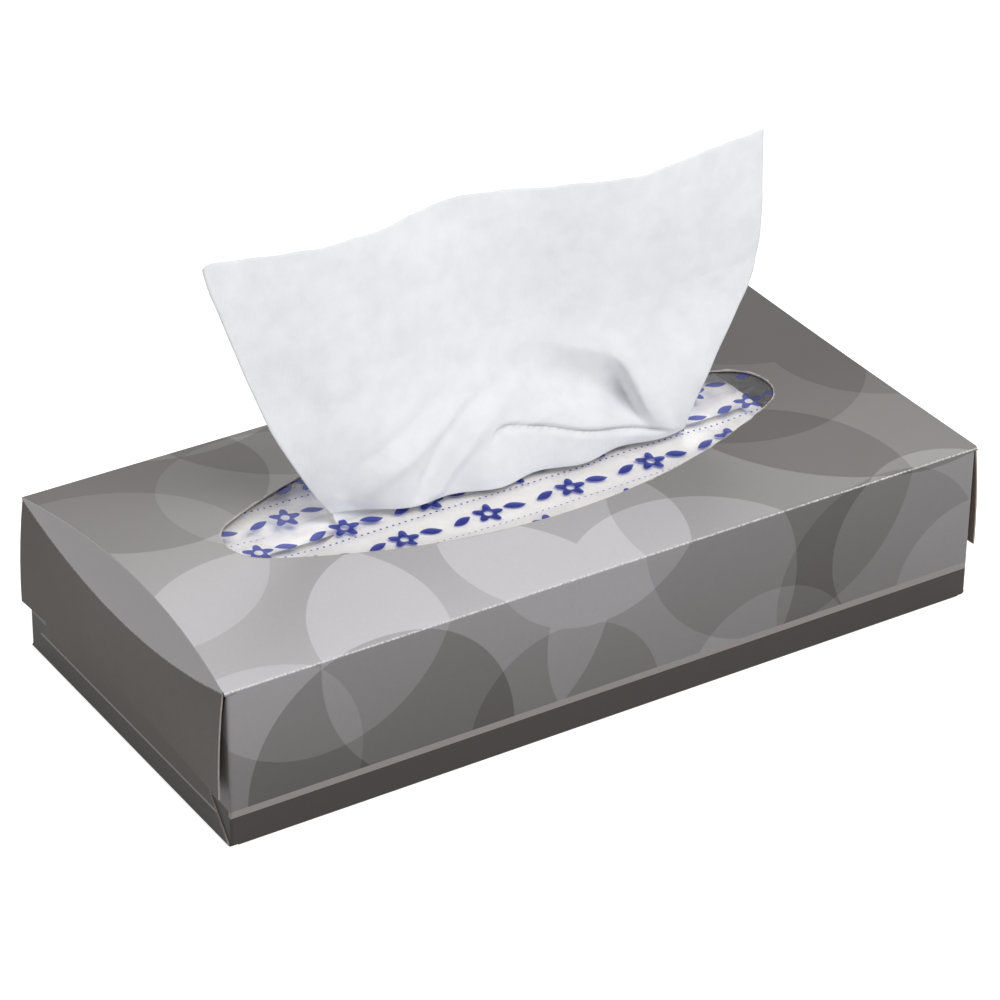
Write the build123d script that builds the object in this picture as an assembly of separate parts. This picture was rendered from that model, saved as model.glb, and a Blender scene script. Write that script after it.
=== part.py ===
from build123d import *
import math
import os

# Flat carton of facial tissues, with one tissue drawn up through the opening on top.
# X runs along the carton, -Y is the long front, +Z is up.
# The origin is the middle of the carton's underside.
# All sizes are in millimetres.

# Carton board and its folds
carton_length = 235.0
carton_depth = 112.0
carton_height = 47.5
top_crown = 3.6
board = 0.45
fold_radius = 0.9
corner_tab = 1.5

# End closure: the top flap hangs from a lens between two curved creases
upper_crease_dip = 4.4
lower_crease_dip = 8.5
lens_dish = 0.5
top_flap_drop = 32.0
top_flap_flare = 1.9
top_flap_bulge = 1.2
bottom_flap_height = 27.0
bottom_flap_notch = 10.0
bottom_flap_notch_height = 11.0
bottom_flap_taper = 3.0
dust_flap_length = 40.0
dust_flap_slope = 10.5
flap_clearance = 0.15
hood_steps = 10
glue_line = 0.12
glue_pad_length = 64.0
glue_pad_width = 6.0
lap_width = 12.0
lap_setback = 6.0

# Opening in the top panel
opening_length = 172.0
opening_width = 60.0
opening_end_radius = 12.0

# Film glued under the top panel, with the slit for the tissues
film = 0.06
film_glue = 0.05
film_length = 204.0
film_width = 88.0
slit_length = 152.0
slit_gape = 10.0

# Interfolded tissues, slid a little towards the left end and puffed up under the arched top
stack_left_play = 9.6
stack_right_play = 33.6
stack_side_play = 1.5
stack_headroom = 1.7
stack_edge_radius = 3.0
stack_side_bulge = 1.2
stack_crown = 2.2

# The drawn-up tissue: one two-ply sheet, gathered at the slit and blousing over its front edge
ply_pair = 0.3
popup_top = 130.0
popup_left = -86.3
popup_right = 80.7
gather_left = -54.0
gather_right = 54.5
gather_height = 1.5
gather_count = 4
popup_wave = 8.2
top_wave_shares = (0.8, 0.3, 0.27, 1.0, 0.29, -0.68, -0.4, 0.0)
left_ease_share = 0.7
right_ease_share = 3.0
gather_fade_share = 1.6
blouse_reach = 11.5
blouse_height = 40.0
blouse_path_shares = ((0.0, 0.0), (0.5, 0.004), (0.88, 0.012), (1.0, 0.045), (0.98, 0.16),
                      (0.78, 0.36), (0.4, 0.6), (0.12, 0.8), (0.0, 1.0))
blouse_onset_share = 5.0
upper_row_shares = (0.5, 1.0)
film_clearance = 0.5
tail_half_length = 86.0
tail_reach = 34.0
tail_lift = 0.5
tail_row_shares = (1.0, 0.5, 0.15)
bend_radius = 2.4
bend_row_shares = (0.0, 0.35, 0.7, 1.0)

# One overrun serves every cut
overrun = 5.0

half_length = carton_length / 2
half_depth = carton_depth / 2
wall_end = half_length - board - fold_radius - corner_tab
flap_face = half_length + glue_line + board
wall_with_lap = 2 * board
end_with_flap = 2 * board
stack_width = carton_depth - 2 * (wall_with_lap + stack_side_play + stack_side_bulge)
stack_length = carton_length - 2 * end_with_flap - stack_left_play - stack_right_play
stack_shift = (stack_left_play - stack_right_play) / 2
stack_top = carton_height - board - stack_headroom
film_top = carton_height + top_crown - board - film_glue


def arch_face(inset_outer, inset_inner, reach):
    """The band of the top panel's arch between two insets, out to reach on each side."""
    with BuildSketch(Plane.YZ) as band:
        with BuildLine():
            Line((-half_depth, 0), (half_depth, 0))
            outer = (half_depth - inset_outer, carton_height - inset_outer)
            Polyline((half_depth, 0), outer)
            ThreePointArc(outer, (0, carton_height + top_crown - inset_outer), (-outer[0], outer[1]))
            Polyline((-outer[0], outer[1]), (-half_depth, 0))
        make_face()
        with BuildLine():
            inner = (half_depth - inset_inner, carton_height - inset_inner)
            Line((-half_depth, 0), (half_depth, 0))
            Polyline((half_depth, 0), inner)
            ThreePointArc(inner, (0, carton_height + top_crown - inset_inner), (-inner[0], inner[1]))
            Polyline((-inner[0], inner[1]), (-half_depth, 0))
        make_face(mode=Mode.SUBTRACT)
        with Locations((0, carton_height)):
            Rectangle(2 * reach, 2 * carton_height, mode=Mode.INTERSECT)
    return band.sketch


def sleeve_face(inset):
    """Section of the folded sleeve, inset from its outside: flat below, arched on top."""
    half = half_depth - inset
    shoulder = carton_height - inset
    with BuildSketch(Plane.YZ) as outline:
        with BuildLine():
            Polyline((-half, shoulder), (-half, inset), (half, inset), (half, shoulder))
            ThreePointArc((half, shoulder), (0, shoulder + top_crown), (-half, shoulder))
        make_face()
        fillet(outline.vertices(), fold_radius - inset)
    return outline.sketch


def top_height(y):
    """Height of the arched top panel's outside at y."""
    radius = (half_depth ** 2 + top_crown ** 2) / (2 * top_crown)
    return carton_height + top_crown - radius + math.sqrt(radius ** 2 - y ** 2)


def lens_share(y):
    """How open the lens at the end of the top is at y: 1 in the middle and 0 at the corners."""
    return 1 - (y / half_depth) ** 2


def crease_x(y):
    """Place along the carton of the curved crease between the top panel and the lens."""
    return flap_face - upper_crease_dip * lens_share(y)


def angle_band(plane, leg, rise):
    """Board folded once: its outer corner is at the plane's origin, its legs run along -x and +y."""
    with BuildSketch(plane) as band:
        with BuildLine():
            FilletPolyline((-leg, 0), (0, 0), (0, rise), radius=fold_radius)
            Line((0, rise), (-board, rise))
            FilletPolyline((-board, rise), (-board, board), (-leg, board), radius=fold_radius - board)
            Line((-leg, board), (-leg, 0))
        make_face()
    return band.sketch


def hood_section(y):
    """Section of the lens and the top flap at y, from the upper crease down to the cut edge."""
    open_share = lens_share(y)
    crease_top = (crease_x(y), top_height(y))
    crease_low = (flap_face, carton_height - lower_crease_dip * open_share)
    edge_x = flap_face + top_flap_flare * (1 - open_share)
    edge_z = carton_height - top_flap_drop
    lens_middle = ((crease_top[0] + crease_low[0]) / 2 - lens_dish * open_share,
                   (crease_top[1] + crease_low[1]) / 2)
    flap_middle = ((crease_low[0] + edge_x) / 2 + top_flap_bulge * (1 - open_share),
                   (crease_low[1] + edge_z) / 2)
    outside = [crease_top, lens_middle, crease_low, flap_middle, (edge_x, edge_z)]
    inside = [(x - board, z) for x, z in outside]
    section_plane = Plane(origin=(0, y, 0), x_dir=(1, 0, 0), z_dir=(0, -1, 0))
    with BuildSketch(section_plane) as section:
        with BuildLine():
            Bezier(*outside[:3])
            Bezier(*outside[2:])
            Line(outside[-1], inside[-1])
            Bezier(*inside[:1:-1])
            Bezier(*inside[2::-1])
            Line(inside[0], outside[0])
        make_face()
    return section.sketch


def hood():
    """Lens facet and top flap of the +X end, one curved sheet of board."""
    reach = half_depth - fold_radius
    stations = [reach * math.cos(math.pi * step / hood_steps) for step in range(hood_steps, -1, -1)]
    return loft([hood_section(y) for y in stations])


def bottom_flap():
    """Flap folded up from the bottom panel at the +X end, with slanted side edges."""
    corner = Plane(origin=(half_length, 0, 0), x_dir=(1, 0, 0), z_dir=(0, -1, 0))
    band = extrude(angle_band(corner, half_length - wall_end, bottom_flap_height), half_depth, both=True)
    foot = half_depth - fold_radius
    shoulder = half_depth - bottom_flap_notch
    tip = shoulder - bottom_flap_taper
    with BuildSketch(Plane.YZ) as outline:
        with BuildLine():
            Polyline((-foot, -overrun), (foot, -overrun), (foot, fold_radius),
                     (shoulder, bottom_flap_notch_height), (tip, bottom_flap_height),
                     (-tip, bottom_flap_height), (-shoulder, bottom_flap_notch_height),
                     (-foot, fold_radius), close=True)
        make_face()
    return band & extrude(outline.sketch, carton_length)


def dust_flap():
    """Flap folded round from the front panel at the +X end, behind the other two flaps."""
    corner = Plane(origin=(half_length - board, -half_depth, 0), x_dir=(1, 0, 0), z_dir=(0, 0, 1))
    band = extrude(angle_band(corner, half_length - board - wall_end, dust_flap_length), carton_height)
    low = fold_radius
    high = carton_height - fold_radius
    tip = dust_flap_length - half_depth
    with BuildSketch(Plane.YZ) as outline:
        with BuildLine():
            Polyline((-half_depth - overrun, low), (-half_depth + fold_radius, low),
                     (tip, low + dust_flap_slope), (tip, high - dust_flap_slope),
                     (-half_depth + fold_radius, high - flap_clearance),
                     (-half_depth - overrun, high - flap_clearance), close=True)
        make_face()
    return band & extrude(outline.sketch, carton_length)


def end_closure():
    """Everything that closes the +X end, with the glue between the top and bottom flaps."""
    dust = dust_flap()
    pad_z = (carton_height - top_flap_drop + bottom_flap_height) / 2
    pad = Box(glue_line + board, glue_pad_length, glue_pad_width)
    pad = Pos(half_length + glue_line / 2, 0, pad_z) * pad
    return [hood(), bottom_flap(), dust, dust.mirror(Plane.XZ), pad]


def oval_face(length, width, end_radius):
    """Oval of two long arcs and two small end arcs that run into each other."""
    half, rise = length / 2, width / 2
    side_radius = (half ** 2 + rise ** 2 - 2 * half * end_radius) / (2 * (rise - end_radius))
    turn = math.atan2(half - end_radius, side_radius - rise)
    join = (side_radius * math.sin(turn), side_radius * math.cos(turn) - side_radius + rise)
    with BuildSketch() as oval:
        with BuildLine():
            ThreePointArc((-join[0], join[1]), (0, rise), join)
            ThreePointArc(join, (half, 0), (join[0], -join[1]))
            ThreePointArc((join[0], -join[1]), (0, -rise), (-join[0], -join[1]))
            ThreePointArc((-join[0], -join[1]), (-half, 0), (-join[0], join[1]))
        make_face()
    return oval.sketch


def sleeve():
    """Front, back, top and bottom panels, trimmed where the end flaps fold."""
    tube = extrude(sleeve_face(0) - sleeve_face(board), flap_face, both=True)
    wall_top = carton_height - fold_radius
    for side in (-1, 1):
        trim_length = flap_face - wall_end + overrun
        trim = Box(trim_length, carton_depth + overrun, wall_top + overrun)
        tube -= Pos(side * (wall_end + trim_length / 2), 0, (wall_top - overrun) / 2) * trim
    with BuildSketch() as plan:
        with BuildLine():
            corner = (flap_face - board / 2, half_depth + overrun)
            middle = crease_x(0) - board / 2
            crease = ThreePointArc((corner[0], -half_depth), (middle, 0), (corner[0], half_depth))
            Polyline(crease @ 1, corner, (-corner[0], corner[1]), (-corner[0], half_depth))
            ThreePointArc((-corner[0], half_depth), (-middle, 0), (-corner[0], -half_depth))
            Polyline((-corner[0], -half_depth), (-corner[0], -corner[1]),
                     (corner[0], -corner[1]), crease @ 0)
        make_face()
    tube = tube & extrude(plan.sketch, 2 * carton_height, both=True)
    lap = Box(2 * (wall_end - lap_setback), board, lap_width)
    lap = Pos(0, half_depth - board - board / 2, board + lap_width / 2) * lap
    opening = extrude(oval_face(opening_length, opening_width, opening_end_radius), 2 * carton_height)
    return tube + lap - Pos(0, 0, carton_height / 2) * opening


def carton():
    """The whole folded and glued blank."""
    closure = end_closure()
    return sleeve() + closure + [piece.mirror(Plane.YZ) for piece in closure]


def film_window():
    """Film under the top panel, following its arch, with the slit held open by the tissue."""
    inset = board + film_glue
    sheet = extrude(arch_face(inset, inset + film, film_width / 2), film_length / 2, both=True)
    with BuildSketch() as slit:
        with BuildLine():
            ThreePointArc((-slit_length / 2, 0), (0, slit_gape / 2), (slit_length / 2, 0))
            ThreePointArc((slit_length / 2, 0), (0, -slit_gape / 2), (-slit_length / 2, 0))
        make_face()
    return sheet - extrude(slit.sketch, 2 * carton_height)


def stack_height(y):
    """Height of the puffed-up stack at y."""
    return stack_top + stack_crown * (1 - (2 * y / stack_width) ** 2)


def tissue_stack():
    """The interfolded tissues left in the carton, softly rounded along their folds."""
    half = stack_width / 2
    top = stack_top
    with BuildSketch(Plane.YZ) as section:
        with BuildLine():
            Line((-half, board), (half, board))
            ThreePointArc((half, board), (half + stack_side_bulge, (board + top) / 2), (half, top))
            ThreePointArc((half, top), (0, stack_height(0)), (-half, top))
            ThreePointArc((-half, top), (-half - stack_side_bulge, (board + top) / 2), (-half, board))
        make_face()
        fillet(section.vertices(), stack_edge_radius)
    return Pos(stack_shift, 0, 0) * extrude(section.sketch, stack_length / 2, both=True)


def slit_point(u):
    """Plan of the sheet where it passes the slit in soft gathers, u being the share of its width."""
    x = gather_left + u * (gather_right - gather_left)
    room = 1 - (2 * x / slit_length) ** 2
    return x, gather_height * room * math.sin(2 * math.pi * gather_count * u)


def top_row():
    """Plan of the sheet's upper edge, with a few wide waves."""
    count = len(top_wave_shares) - 1
    width = popup_right - popup_left
    return Spline(*[(popup_left + width * step / count, popup_wave * share)
                    for step, share in enumerate(top_wave_shares)])


def tail_point(u, share):
    """Point of the tail, which lies on the stack and spreads towards its free edge."""
    x, _ = slit_point(u)
    spread = stack_shift + tail_half_length * (2 * u - 1)
    y = -bend_radius - tail_reach * share
    return x + (spread - x) * share, y, stack_height(y) + tail_lift


def bend_point(u, share):
    """Point of the bend that turns the sheet up through the slit."""
    x, y = slit_point(u)
    turn = math.pi / 2 * share
    return (x, y * share - bend_radius * (1 - math.sin(turn)),
            stack_height(-bend_radius) + tail_lift + bend_radius * (1 - math.cos(turn)))


def rise_point(u, z, reach, top):
    """Point of the fan that stands above the slit, reaching out over the front of the film."""
    x, y = slit_point(u)
    far = top.position_at(u)
    share = (z - film_top) / (popup_top - film_top)
    ease = (1 - u) * share ** left_ease_share + u * (1 - (1 - share) ** right_ease_share)
    fade = (1 - share) ** gather_fade_share
    spread = 1 - (1 - u) ** blouse_onset_share
    return x + (far.X - x) * ease, y * fade + far.Y * share - reach * spread, z


def sheet_rows():
    """Rows of points across the sheet, from its tail's free edge to its upper edge."""
    top = top_row()
    start_z = film_top + film_clearance
    columns = [step / (4 * gather_count) for step in range(4 * gather_count + 1)]
    rows = [[tail_point(u, share) for u in columns] for share in tail_row_shares]
    rows += [[bend_point(u, share) for u in columns] for share in bend_row_shares]
    rows += [[rise_point(u, start_z + blouse_height * height, blouse_reach * reach, top) for u in columns]
             for reach, height in blouse_path_shares]
    upper_z = start_z + blouse_height
    rows += [[rise_point(u, upper_z + (popup_top - upper_z) * share, 0, top) for u in columns]
             for share in upper_row_shares]
    return rows


def row_middle(row):
    """Place of a row's middle, seen along the sheet's width."""
    return Vector(0, sum(point[1] for point in row) / len(row), sum(point[2] for point in row) / len(row))


def popup_tissue():
    """The drawn-up tissue: a thin loft through bands that stand across the sheet's path."""
    rows = sheet_rows()
    middles = [row_middle(row) for row in rows]
    wires = []
    for number, row in enumerate(rows):
        path = middles[min(number + 1, len(rows) - 1)] - middles[max(number - 1, 0)]
        facing = Vector(0, -path.Z, path.Y).normalized() * (ply_pair / 2)
        if number == 0:
            facing = Vector(0, 0, ply_pair / 2)
        if number == len(rows) - 1:
            facing = Vector(0, -ply_pair / 2, 0)
        front = [Vector(*point) + facing for point in row]
        back = [Vector(*point) - facing for point in reversed(row)]
        wires.append(Wire([Edge.make_spline(front), Edge.make_line(front[-1], back[0]),
                           Edge.make_spline(back), Edge.make_line(back[-1], front[0])]))
    return Solid.make_loft(wires, ruled=True)


parts = {
    "carton": carton,
    "film_window": film_window,
    "tissue_stack": tissue_stack,
    "popup_tissue": popup_tissue,
}

os.makedirs("parts", exist_ok=True)
for name, make in parts.items():
    export_step(make(), f"parts/{name}.step")
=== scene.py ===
import math

import bpy
import numpy as np
from mathutils import Matrix, Vector, noise


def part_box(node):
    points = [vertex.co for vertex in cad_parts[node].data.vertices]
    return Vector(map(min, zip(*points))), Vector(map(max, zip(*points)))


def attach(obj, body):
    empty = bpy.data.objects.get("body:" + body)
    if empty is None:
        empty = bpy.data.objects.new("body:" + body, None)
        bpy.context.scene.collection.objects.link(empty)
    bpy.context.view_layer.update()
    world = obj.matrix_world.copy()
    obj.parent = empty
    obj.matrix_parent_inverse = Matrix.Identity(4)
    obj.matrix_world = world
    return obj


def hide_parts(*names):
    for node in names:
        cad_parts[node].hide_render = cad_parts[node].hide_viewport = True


bl_info = {
    "name": "Tissue box",
    "version": (1, 0, 0),
    "blender": (4, 5, 0),
    "location": "3D View > Sidebar > Tissue box",
    "description": "Dresses the packed tissue carton: print, film, folded tissues and the drawn-up one",
    "category": "Object",
}

# X runs along the carton, -Y is its long front, +Z is up, and the carton stands on Z = 0.
# Meshes are worked out in millimetres, as the part is, and turned to metres when they are made.
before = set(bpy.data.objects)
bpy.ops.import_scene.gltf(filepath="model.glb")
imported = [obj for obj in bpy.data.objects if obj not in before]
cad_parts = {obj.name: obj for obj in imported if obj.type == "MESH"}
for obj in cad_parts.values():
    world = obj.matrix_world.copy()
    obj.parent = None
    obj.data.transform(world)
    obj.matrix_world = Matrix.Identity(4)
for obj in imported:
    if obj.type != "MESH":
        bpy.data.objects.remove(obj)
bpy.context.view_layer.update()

MM = 0.001

# Kinds of node that are used again and again
MATH = "ShaderNodeMath"
VECTOR_MATH = "ShaderNodeVectorMath"
SPLIT = "ShaderNodeSeparateXYZ"
RANGE = "ShaderNodeMapRange"
MIX = "ShaderNodeMix"
NOISE = "ShaderNodeTexNoise"
BUMP = "ShaderNodeBump"
PRINCIPLED = "ShaderNodeBsdfPrincipled"
MIX_SHADER = "ShaderNodeMixShader"

# Real sizes of the patterns in the materials, in millimetres. The fibres are drawn coarser than life,
# because their true size is too fine to show.
BOARD_FIBRE = 1.111
BOARD_WAVE = 22.22
RUBBED_SPECKLE = 0.7143
PULP_CLUMP = 1.4286
FILM_RIPPLE = 7.692
TISSUE_CLOUD = 6.25
TISSUE_FIBRE = 0.6667
CREPE_RIDGE = 1.2083
PILE_SWELL = 16.667

# Length of one wave of the Wave node at scale 1
WAVE_LENGTH = math.pi / 10


def linear(hex_colour):
    """Linear red, green and blue of an sRGB hex colour."""
    channels = [int(hex_colour[place:place + 2], 16) / 255 for place in (1, 3, 5)]
    return tuple(c / 12.92 if c <= 0.04045 else ((c + 0.055) / 1.055) ** 2.4 for c in channels)


def opaque(colour):
    """A colour socket's four values from three."""
    return (*colour[:3], 1.0)


def per_metre(size):
    """How often a pattern of a real size in millimetres repeats in one metre."""
    return 1 / (size * MM)


def add_node(tree, kind, settings=None, inputs=()):
    """Adds a node. settings are its own properties. inputs are the values of its sockets, or what feeds
    them: a dict by their names, or a row for those in use. A node feeds its first output in use."""
    node = tree.nodes.new(kind)
    for name, value in (settings or {}).items():
        setattr(node, name, value)
    if isinstance(inputs, dict):
        pairs = [(node.inputs[key], value) for key, value in inputs.items()]
    else:
        pairs = list(zip([socket for socket in node.inputs if socket.enabled], inputs))
    for socket, value in pairs:
        if isinstance(value, bpy.types.Node):
            value = next(output for output in value.outputs if output.enabled)
        if isinstance(value, bpy.types.NodeSocket):
            tree.links.new(value, socket)
        else:
            socket.default_value = value
    return node


def new_material(name):
    """An empty node material and its tree."""
    material = bpy.data.materials.new(name)
    material.use_nodes = True
    material.node_tree.nodes.clear()
    return material, material.node_tree


def new_piece(name, points, faces, materials=()):
    """A mesh piece from points in millimetres, smooth, with its place in its mesh."""
    mesh = bpy.data.meshes.new(name)
    mesh.from_pydata([Vector(point) * MM for point in points], [], faces)
    for material in materials:
        mesh.materials.append(material)
    mesh.shade_smooth()
    piece = bpy.data.objects.new(name, mesh)
    bpy.context.scene.collection.objects.link(piece)
    return piece


def finish_piece(piece, slot, *nodes):
    """Puts a piece on the part's one body, in the place of the CAD nodes that it stands for."""
    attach(piece, "root")
    if nodes:
        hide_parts(*nodes)


def baked(piece):
    """Turns a piece's live modifiers into its plain mesh, and removes them."""
    graph = bpy.context.evaluated_depsgraph_get()
    mesh = bpy.data.meshes.new_from_object(piece.evaluated_get(graph))
    piece.modifiers.clear()
    piece.data = mesh
    mesh.shade_smooth()
    return piece


def geometry_tree(name, sizes):
    """An empty geometry node tree with a geometry input and output, and named inputs for its sizes."""
    tree = bpy.data.node_groups.new(name, "GeometryNodeTree")
    tree.interface.new_socket("Geometry", in_out="INPUT", socket_type="NodeSocketGeometry")
    for label, kind in sizes.items():
        tree.interface.new_socket(label, in_out="INPUT", socket_type="NodeSocket" + kind)
    tree.interface.new_socket("Geometry", in_out="OUTPUT", socket_type="NodeSocketGeometry")
    return tree, add_node(tree, "NodeGroupInput").outputs


def add_geometry_modifier(piece, tree, values):
    """Puts a geometry node tree on a piece and sets its inputs by their identifiers."""
    modifier = piece.modifiers.new(tree.name, "NODES")
    modifier.node_group = tree
    for item in tree.interface.items_tree:
        if item.item_type == "SOCKET" and item.in_out == "INPUT" and item.name in values:
            modifier[item.identifier] = values[item.name]


class CartonSettings(bpy.types.PropertyGroup):
    """Sizes of the folded carton, as the part has them, and of its print."""

    length: bpy.props.FloatProperty(
        name="Length", description="Length of the carton between its end walls", default=0.235, unit="LENGTH")
    depth: bpy.props.FloatProperty(
        name="Depth", description="Depth from the front to the back wall", default=0.112, unit="LENGTH")
    height: bpy.props.FloatProperty(
        name="Height", description="Height of the long walls", default=0.0475, unit="LENGTH")
    crown: bpy.props.FloatProperty(
        name="Crown", description="Rise of the arched top panel over the walls", default=0.0036,
        unit="LENGTH")
    board: bpy.props.FloatProperty(
        name="Board", description="Thickness of the board", default=0.00045, unit="LENGTH")
    upper_crease_dip: bpy.props.FloatProperty(
        name="Upper crease dip", description="How far the curved top crease runs in", default=0.0044,
        unit="LENGTH")
    lower_crease_dip: bpy.props.FloatProperty(
        name="Lower crease dip", description="How far the curved flap crease runs down",
        default=0.0085, unit="LENGTH")
    opening_length: bpy.props.FloatProperty(
        name="Opening length", description="Length of the oval opening", default=0.172, unit="LENGTH")
    opening_width: bpy.props.FloatProperty(
        name="Opening width", description="Width of the oval opening", default=0.060, unit="LENGTH")
    opening_end_radius: bpy.props.FloatProperty(
        name="Opening end radius", description="Radius of the oval's tips", default=0.012, unit="LENGTH")
    disc_scale: bpy.props.FloatProperty(
        name="Disc scale", description="Size of the printed discs and of their layout", default=1.0)
    band_height: bpy.props.FloatProperty(
        name="Band height", description="Height of the dark band along the foot of the long walls",
        default=0.0091, unit="LENGTH")
    stripe_height: bpy.props.FloatProperty(
        name="Stripe height", description="Height of the light stripe over the band",
        default=0.0020, unit="LENGTH")
    line_place: bpy.props.FloatProperty(
        name="End line place", description="Height of the thin light line on the end flaps",
        default=0.0080, unit="LENGTH")
    line_height: bpy.props.FloatProperty(
        name="End line height", description="Height of the thin light line on the end flaps",
        default=0.0007, unit="LENGTH")
    ink_darkest: bpy.props.FloatVectorProperty(
        name="Darkest ink", description="Darkest grey of the print", subtype="COLOR",
        default=linear("#4F4B49"))
    ink_dark: bpy.props.FloatVectorProperty(
        name="Dark ink", description="Dark grey of the print", subtype="COLOR", default=linear("#6E6A68"))
    ink_middle: bpy.props.FloatVectorProperty(
        name="Middle ink", description="Middle grey of the print", subtype="COLOR", default=linear("#8A8886"))
    ink_light: bpy.props.FloatVectorProperty(
        name="Light ink", description="Light grey of the print", subtype="COLOR", default=linear("#A6A4A5"))
    ink_lightest: bpy.props.FloatVectorProperty(
        name="Lightest ink", description="Lightest grey of the print", subtype="COLOR",
        default=linear("#C4C2C4"))
    band_ink: bpy.props.FloatVectorProperty(
        name="Band ink", description="Colour of the dark band", subtype="COLOR", default=linear("#423E3C"))
    stripe_ink: bpy.props.FloatVectorProperty(
        name="Stripe ink", description="Colour of the light stripe and line", subtype="COLOR",
        default=linear("#8E8987"))
    flap_ink: bpy.props.FloatVectorProperty(
        name="Flap ink", description="Colour of the end flaps", subtype="COLOR", default=linear("#504945"))
    # The lens is printed lighter than the flap, partly as painted light for the facet's upward tilt
    lens_ink_and_light: bpy.props.FloatVectorProperty(
        name="Lens ink", description="Colour of the facet over the end flap", subtype="COLOR",
        default=linear("#ADABAC"))
    # Share of the walls' print against the top's: partly the print's own tone, partly a painted shade for the
    # less light that falls on the walls
    wall_print_and_shade_share: bpy.props.FloatProperty(
        name="Wall share", description="Brightness of the print on the walls against the top",
        default=0.56, subtype="FACTOR")


class FilmSettings(bpy.types.PropertyGroup):
    """Sizes and colours of the film behind the opening."""

    length: bpy.props.FloatProperty(
        name="Length", description="Length of the glued film", default=0.204, unit="LENGTH")
    width: bpy.props.FloatProperty(
        name="Width", description="Width of the glued film", default=0.088, unit="LENGTH")
    slit_length: bpy.props.FloatProperty(
        name="Slit length", description="Length of the slit", default=0.152, unit="LENGTH")
    slit_gape: bpy.props.FloatProperty(
        name="Slit gape", description="How wide the tissue holds the slit open", default=0.010, unit="LENGTH")
    depth: bpy.props.FloatProperty(
        name="Depth", description="How far the film lies under the top panel's outside",
        default=0.00053, unit="LENGTH")
    sag: bpy.props.FloatProperty(
        name="Sag", description="How far the film sags in the opening", default=0.0006, unit="LENGTH")
    wrinkle: bpy.props.FloatProperty(
        name="Wrinkle", description="Height of the film's wrinkles", default=0.0003, unit="LENGTH")
    motif_pitch: bpy.props.FloatProperty(
        name="Motif pitch", description="Distance between the printed sprigs in a row",
        default=0.026, unit="LENGTH")
    row_pitch: bpy.props.FloatProperty(
        name="Row pitch", description="Distance between the rows of sprigs", default=0.0125, unit="LENGTH")
    ink: bpy.props.FloatVectorProperty(
        name="Film ink", description="Colour of the sprigs", subtype="COLOR", default=linear("#283290"))


class TissueSettings(bpy.types.PropertyGroup):
    """Sizes of the folded tissues and of the one drawn up."""

    sheet_width: bpy.props.FloatProperty(
        name="Sheet width", description="Width of one flat tissue", default=0.190, unit="LENGTH")
    sheet_length: bpy.props.FloatProperty(
        name="Sheet length", description="Length of one flat tissue", default=0.210, unit="LENGTH")
    thickness: bpy.props.FloatProperty(
        name="Thickness", description="Thickness of the two plies", default=0.0002, unit="LENGTH")
    folded_count: bpy.props.IntProperty(
        name="Folded count", description="Number of folded layers that are drawn in the stack", default=48)
    stack_crown: bpy.props.FloatProperty(
        name="Stack crown", description="How far the stack puffs up in its middle", default=0.0022,
        unit="LENGTH")
    colour: bpy.props.FloatVectorProperty(
        name="Tissue colour", description="Colour of the drawn-up tissue", subtype="COLOR",
        default=linear("#F9FAFC"))
    folded_colour: bpy.props.FloatVectorProperty(
        name="Folded colour", description="Colour of the tissues in the pile, deep in each other's light",
        subtype="COLOR", default=linear("#FAF9FA"))


class StudioSettings(bpy.types.PropertyGroup):
    """Levels of the studio light."""

    world_level: bpy.props.FloatProperty(
        name="World level", description="Light of the surroundings on the object", default=0.46)
    key_power: bpy.props.FloatProperty(
        name="Key power", description="Power of the large lamp in front", default=17.0, unit="POWER")
    back_power: bpy.props.FloatProperty(
        name="Back power", description="Power of the large lamp behind", default=4.5, unit="POWER")


# The printed discs: place along the carton, place round it from the top's middle, radius, all in
# millimetres, and how much each one lightens or darkens what it lies on. The light discs on the top's
# front left are partly a painted sheen.
PRINTED_DISCS_AND_SHEEN = (
    (-112, -84, 34, 0.12), (-90, -44, 40, 0.20), (-72, -94, 40, -0.30), (-46, -60, 44, 0.22),
    (-6, -38, 34, 0.20), (-16, -100, 30, -0.18), (18, -76, 40, 0.20), (52, -50, 44, -0.16),
    (50, -108, 28, 0.16), (86, -88, 34, -0.14), (98, -78, 28, 0.22), (118, -98, 26, 0.16),
    (-118, 6, 42, 0.12), (-92, 44, 38, -0.20), (-58, 20, 34, 0.12), (-30, 62, 44, -0.16),
    (8, 36, 36, 0.14), (46, 58, 40, -0.16), (78, 16, 44, -0.14), (104, 44, 38, -0.22),
    (124, 4, 30, -0.12), (104, -2, 56, -0.25), (-104, 92, 34, 0.20), (-62, 88, 38, 0.18),
    (-8, 98, 34, -0.18), (34, 92, 40, 0.20), (84, 96, 38, 0.18), (118, 84, 28, -0.16),
)

# Half the soft edge of a printed disc and of the print at the fold, in millimetres
DISC_EDGE = 0.12
FOLD_EDGE = 0.2

# The print's tone before the discs, from 0, darkest, to 1: at the front and the back fold, lighter at the
# front partly as a painted sheen, and what the front wall's foot takes off it
FRONT_TONE_AND_SHEEN_SHARE = 0.64
BACK_TONE_AND_SHEEN_SHARE = 0.38
FOOT_TONE_SHARE = -0.18

# Rubbed folds of the walls, with a painted highlight on the top fold as well: how far each line lies past
# its fold and half its width, in millimetres
TOP_FOLD_WEAR_AND_HIGHLIGHT = (0.1, 0.42)
FOOT_FOLD_WEAR = (0.0, 0.35)

# Rubbed folds of the ends, wear and a painted highlight along each crease: how far past its fold each line
# lies, half its width and its paleness
END_FOLD_PAST = 0.1
LENS_FOLD_WEAR_AND_HIGHLIGHT = (0.45, 1.0)
FLAP_FOLD_WEAR_AND_HIGHLIGHT = (0.40, 0.6)
RUBBED_PRINT_AND_HIGHLIGHT = "#E0DEDE"
RUBBED_END_AND_HIGHLIGHT = "#BEBBBB"


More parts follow.
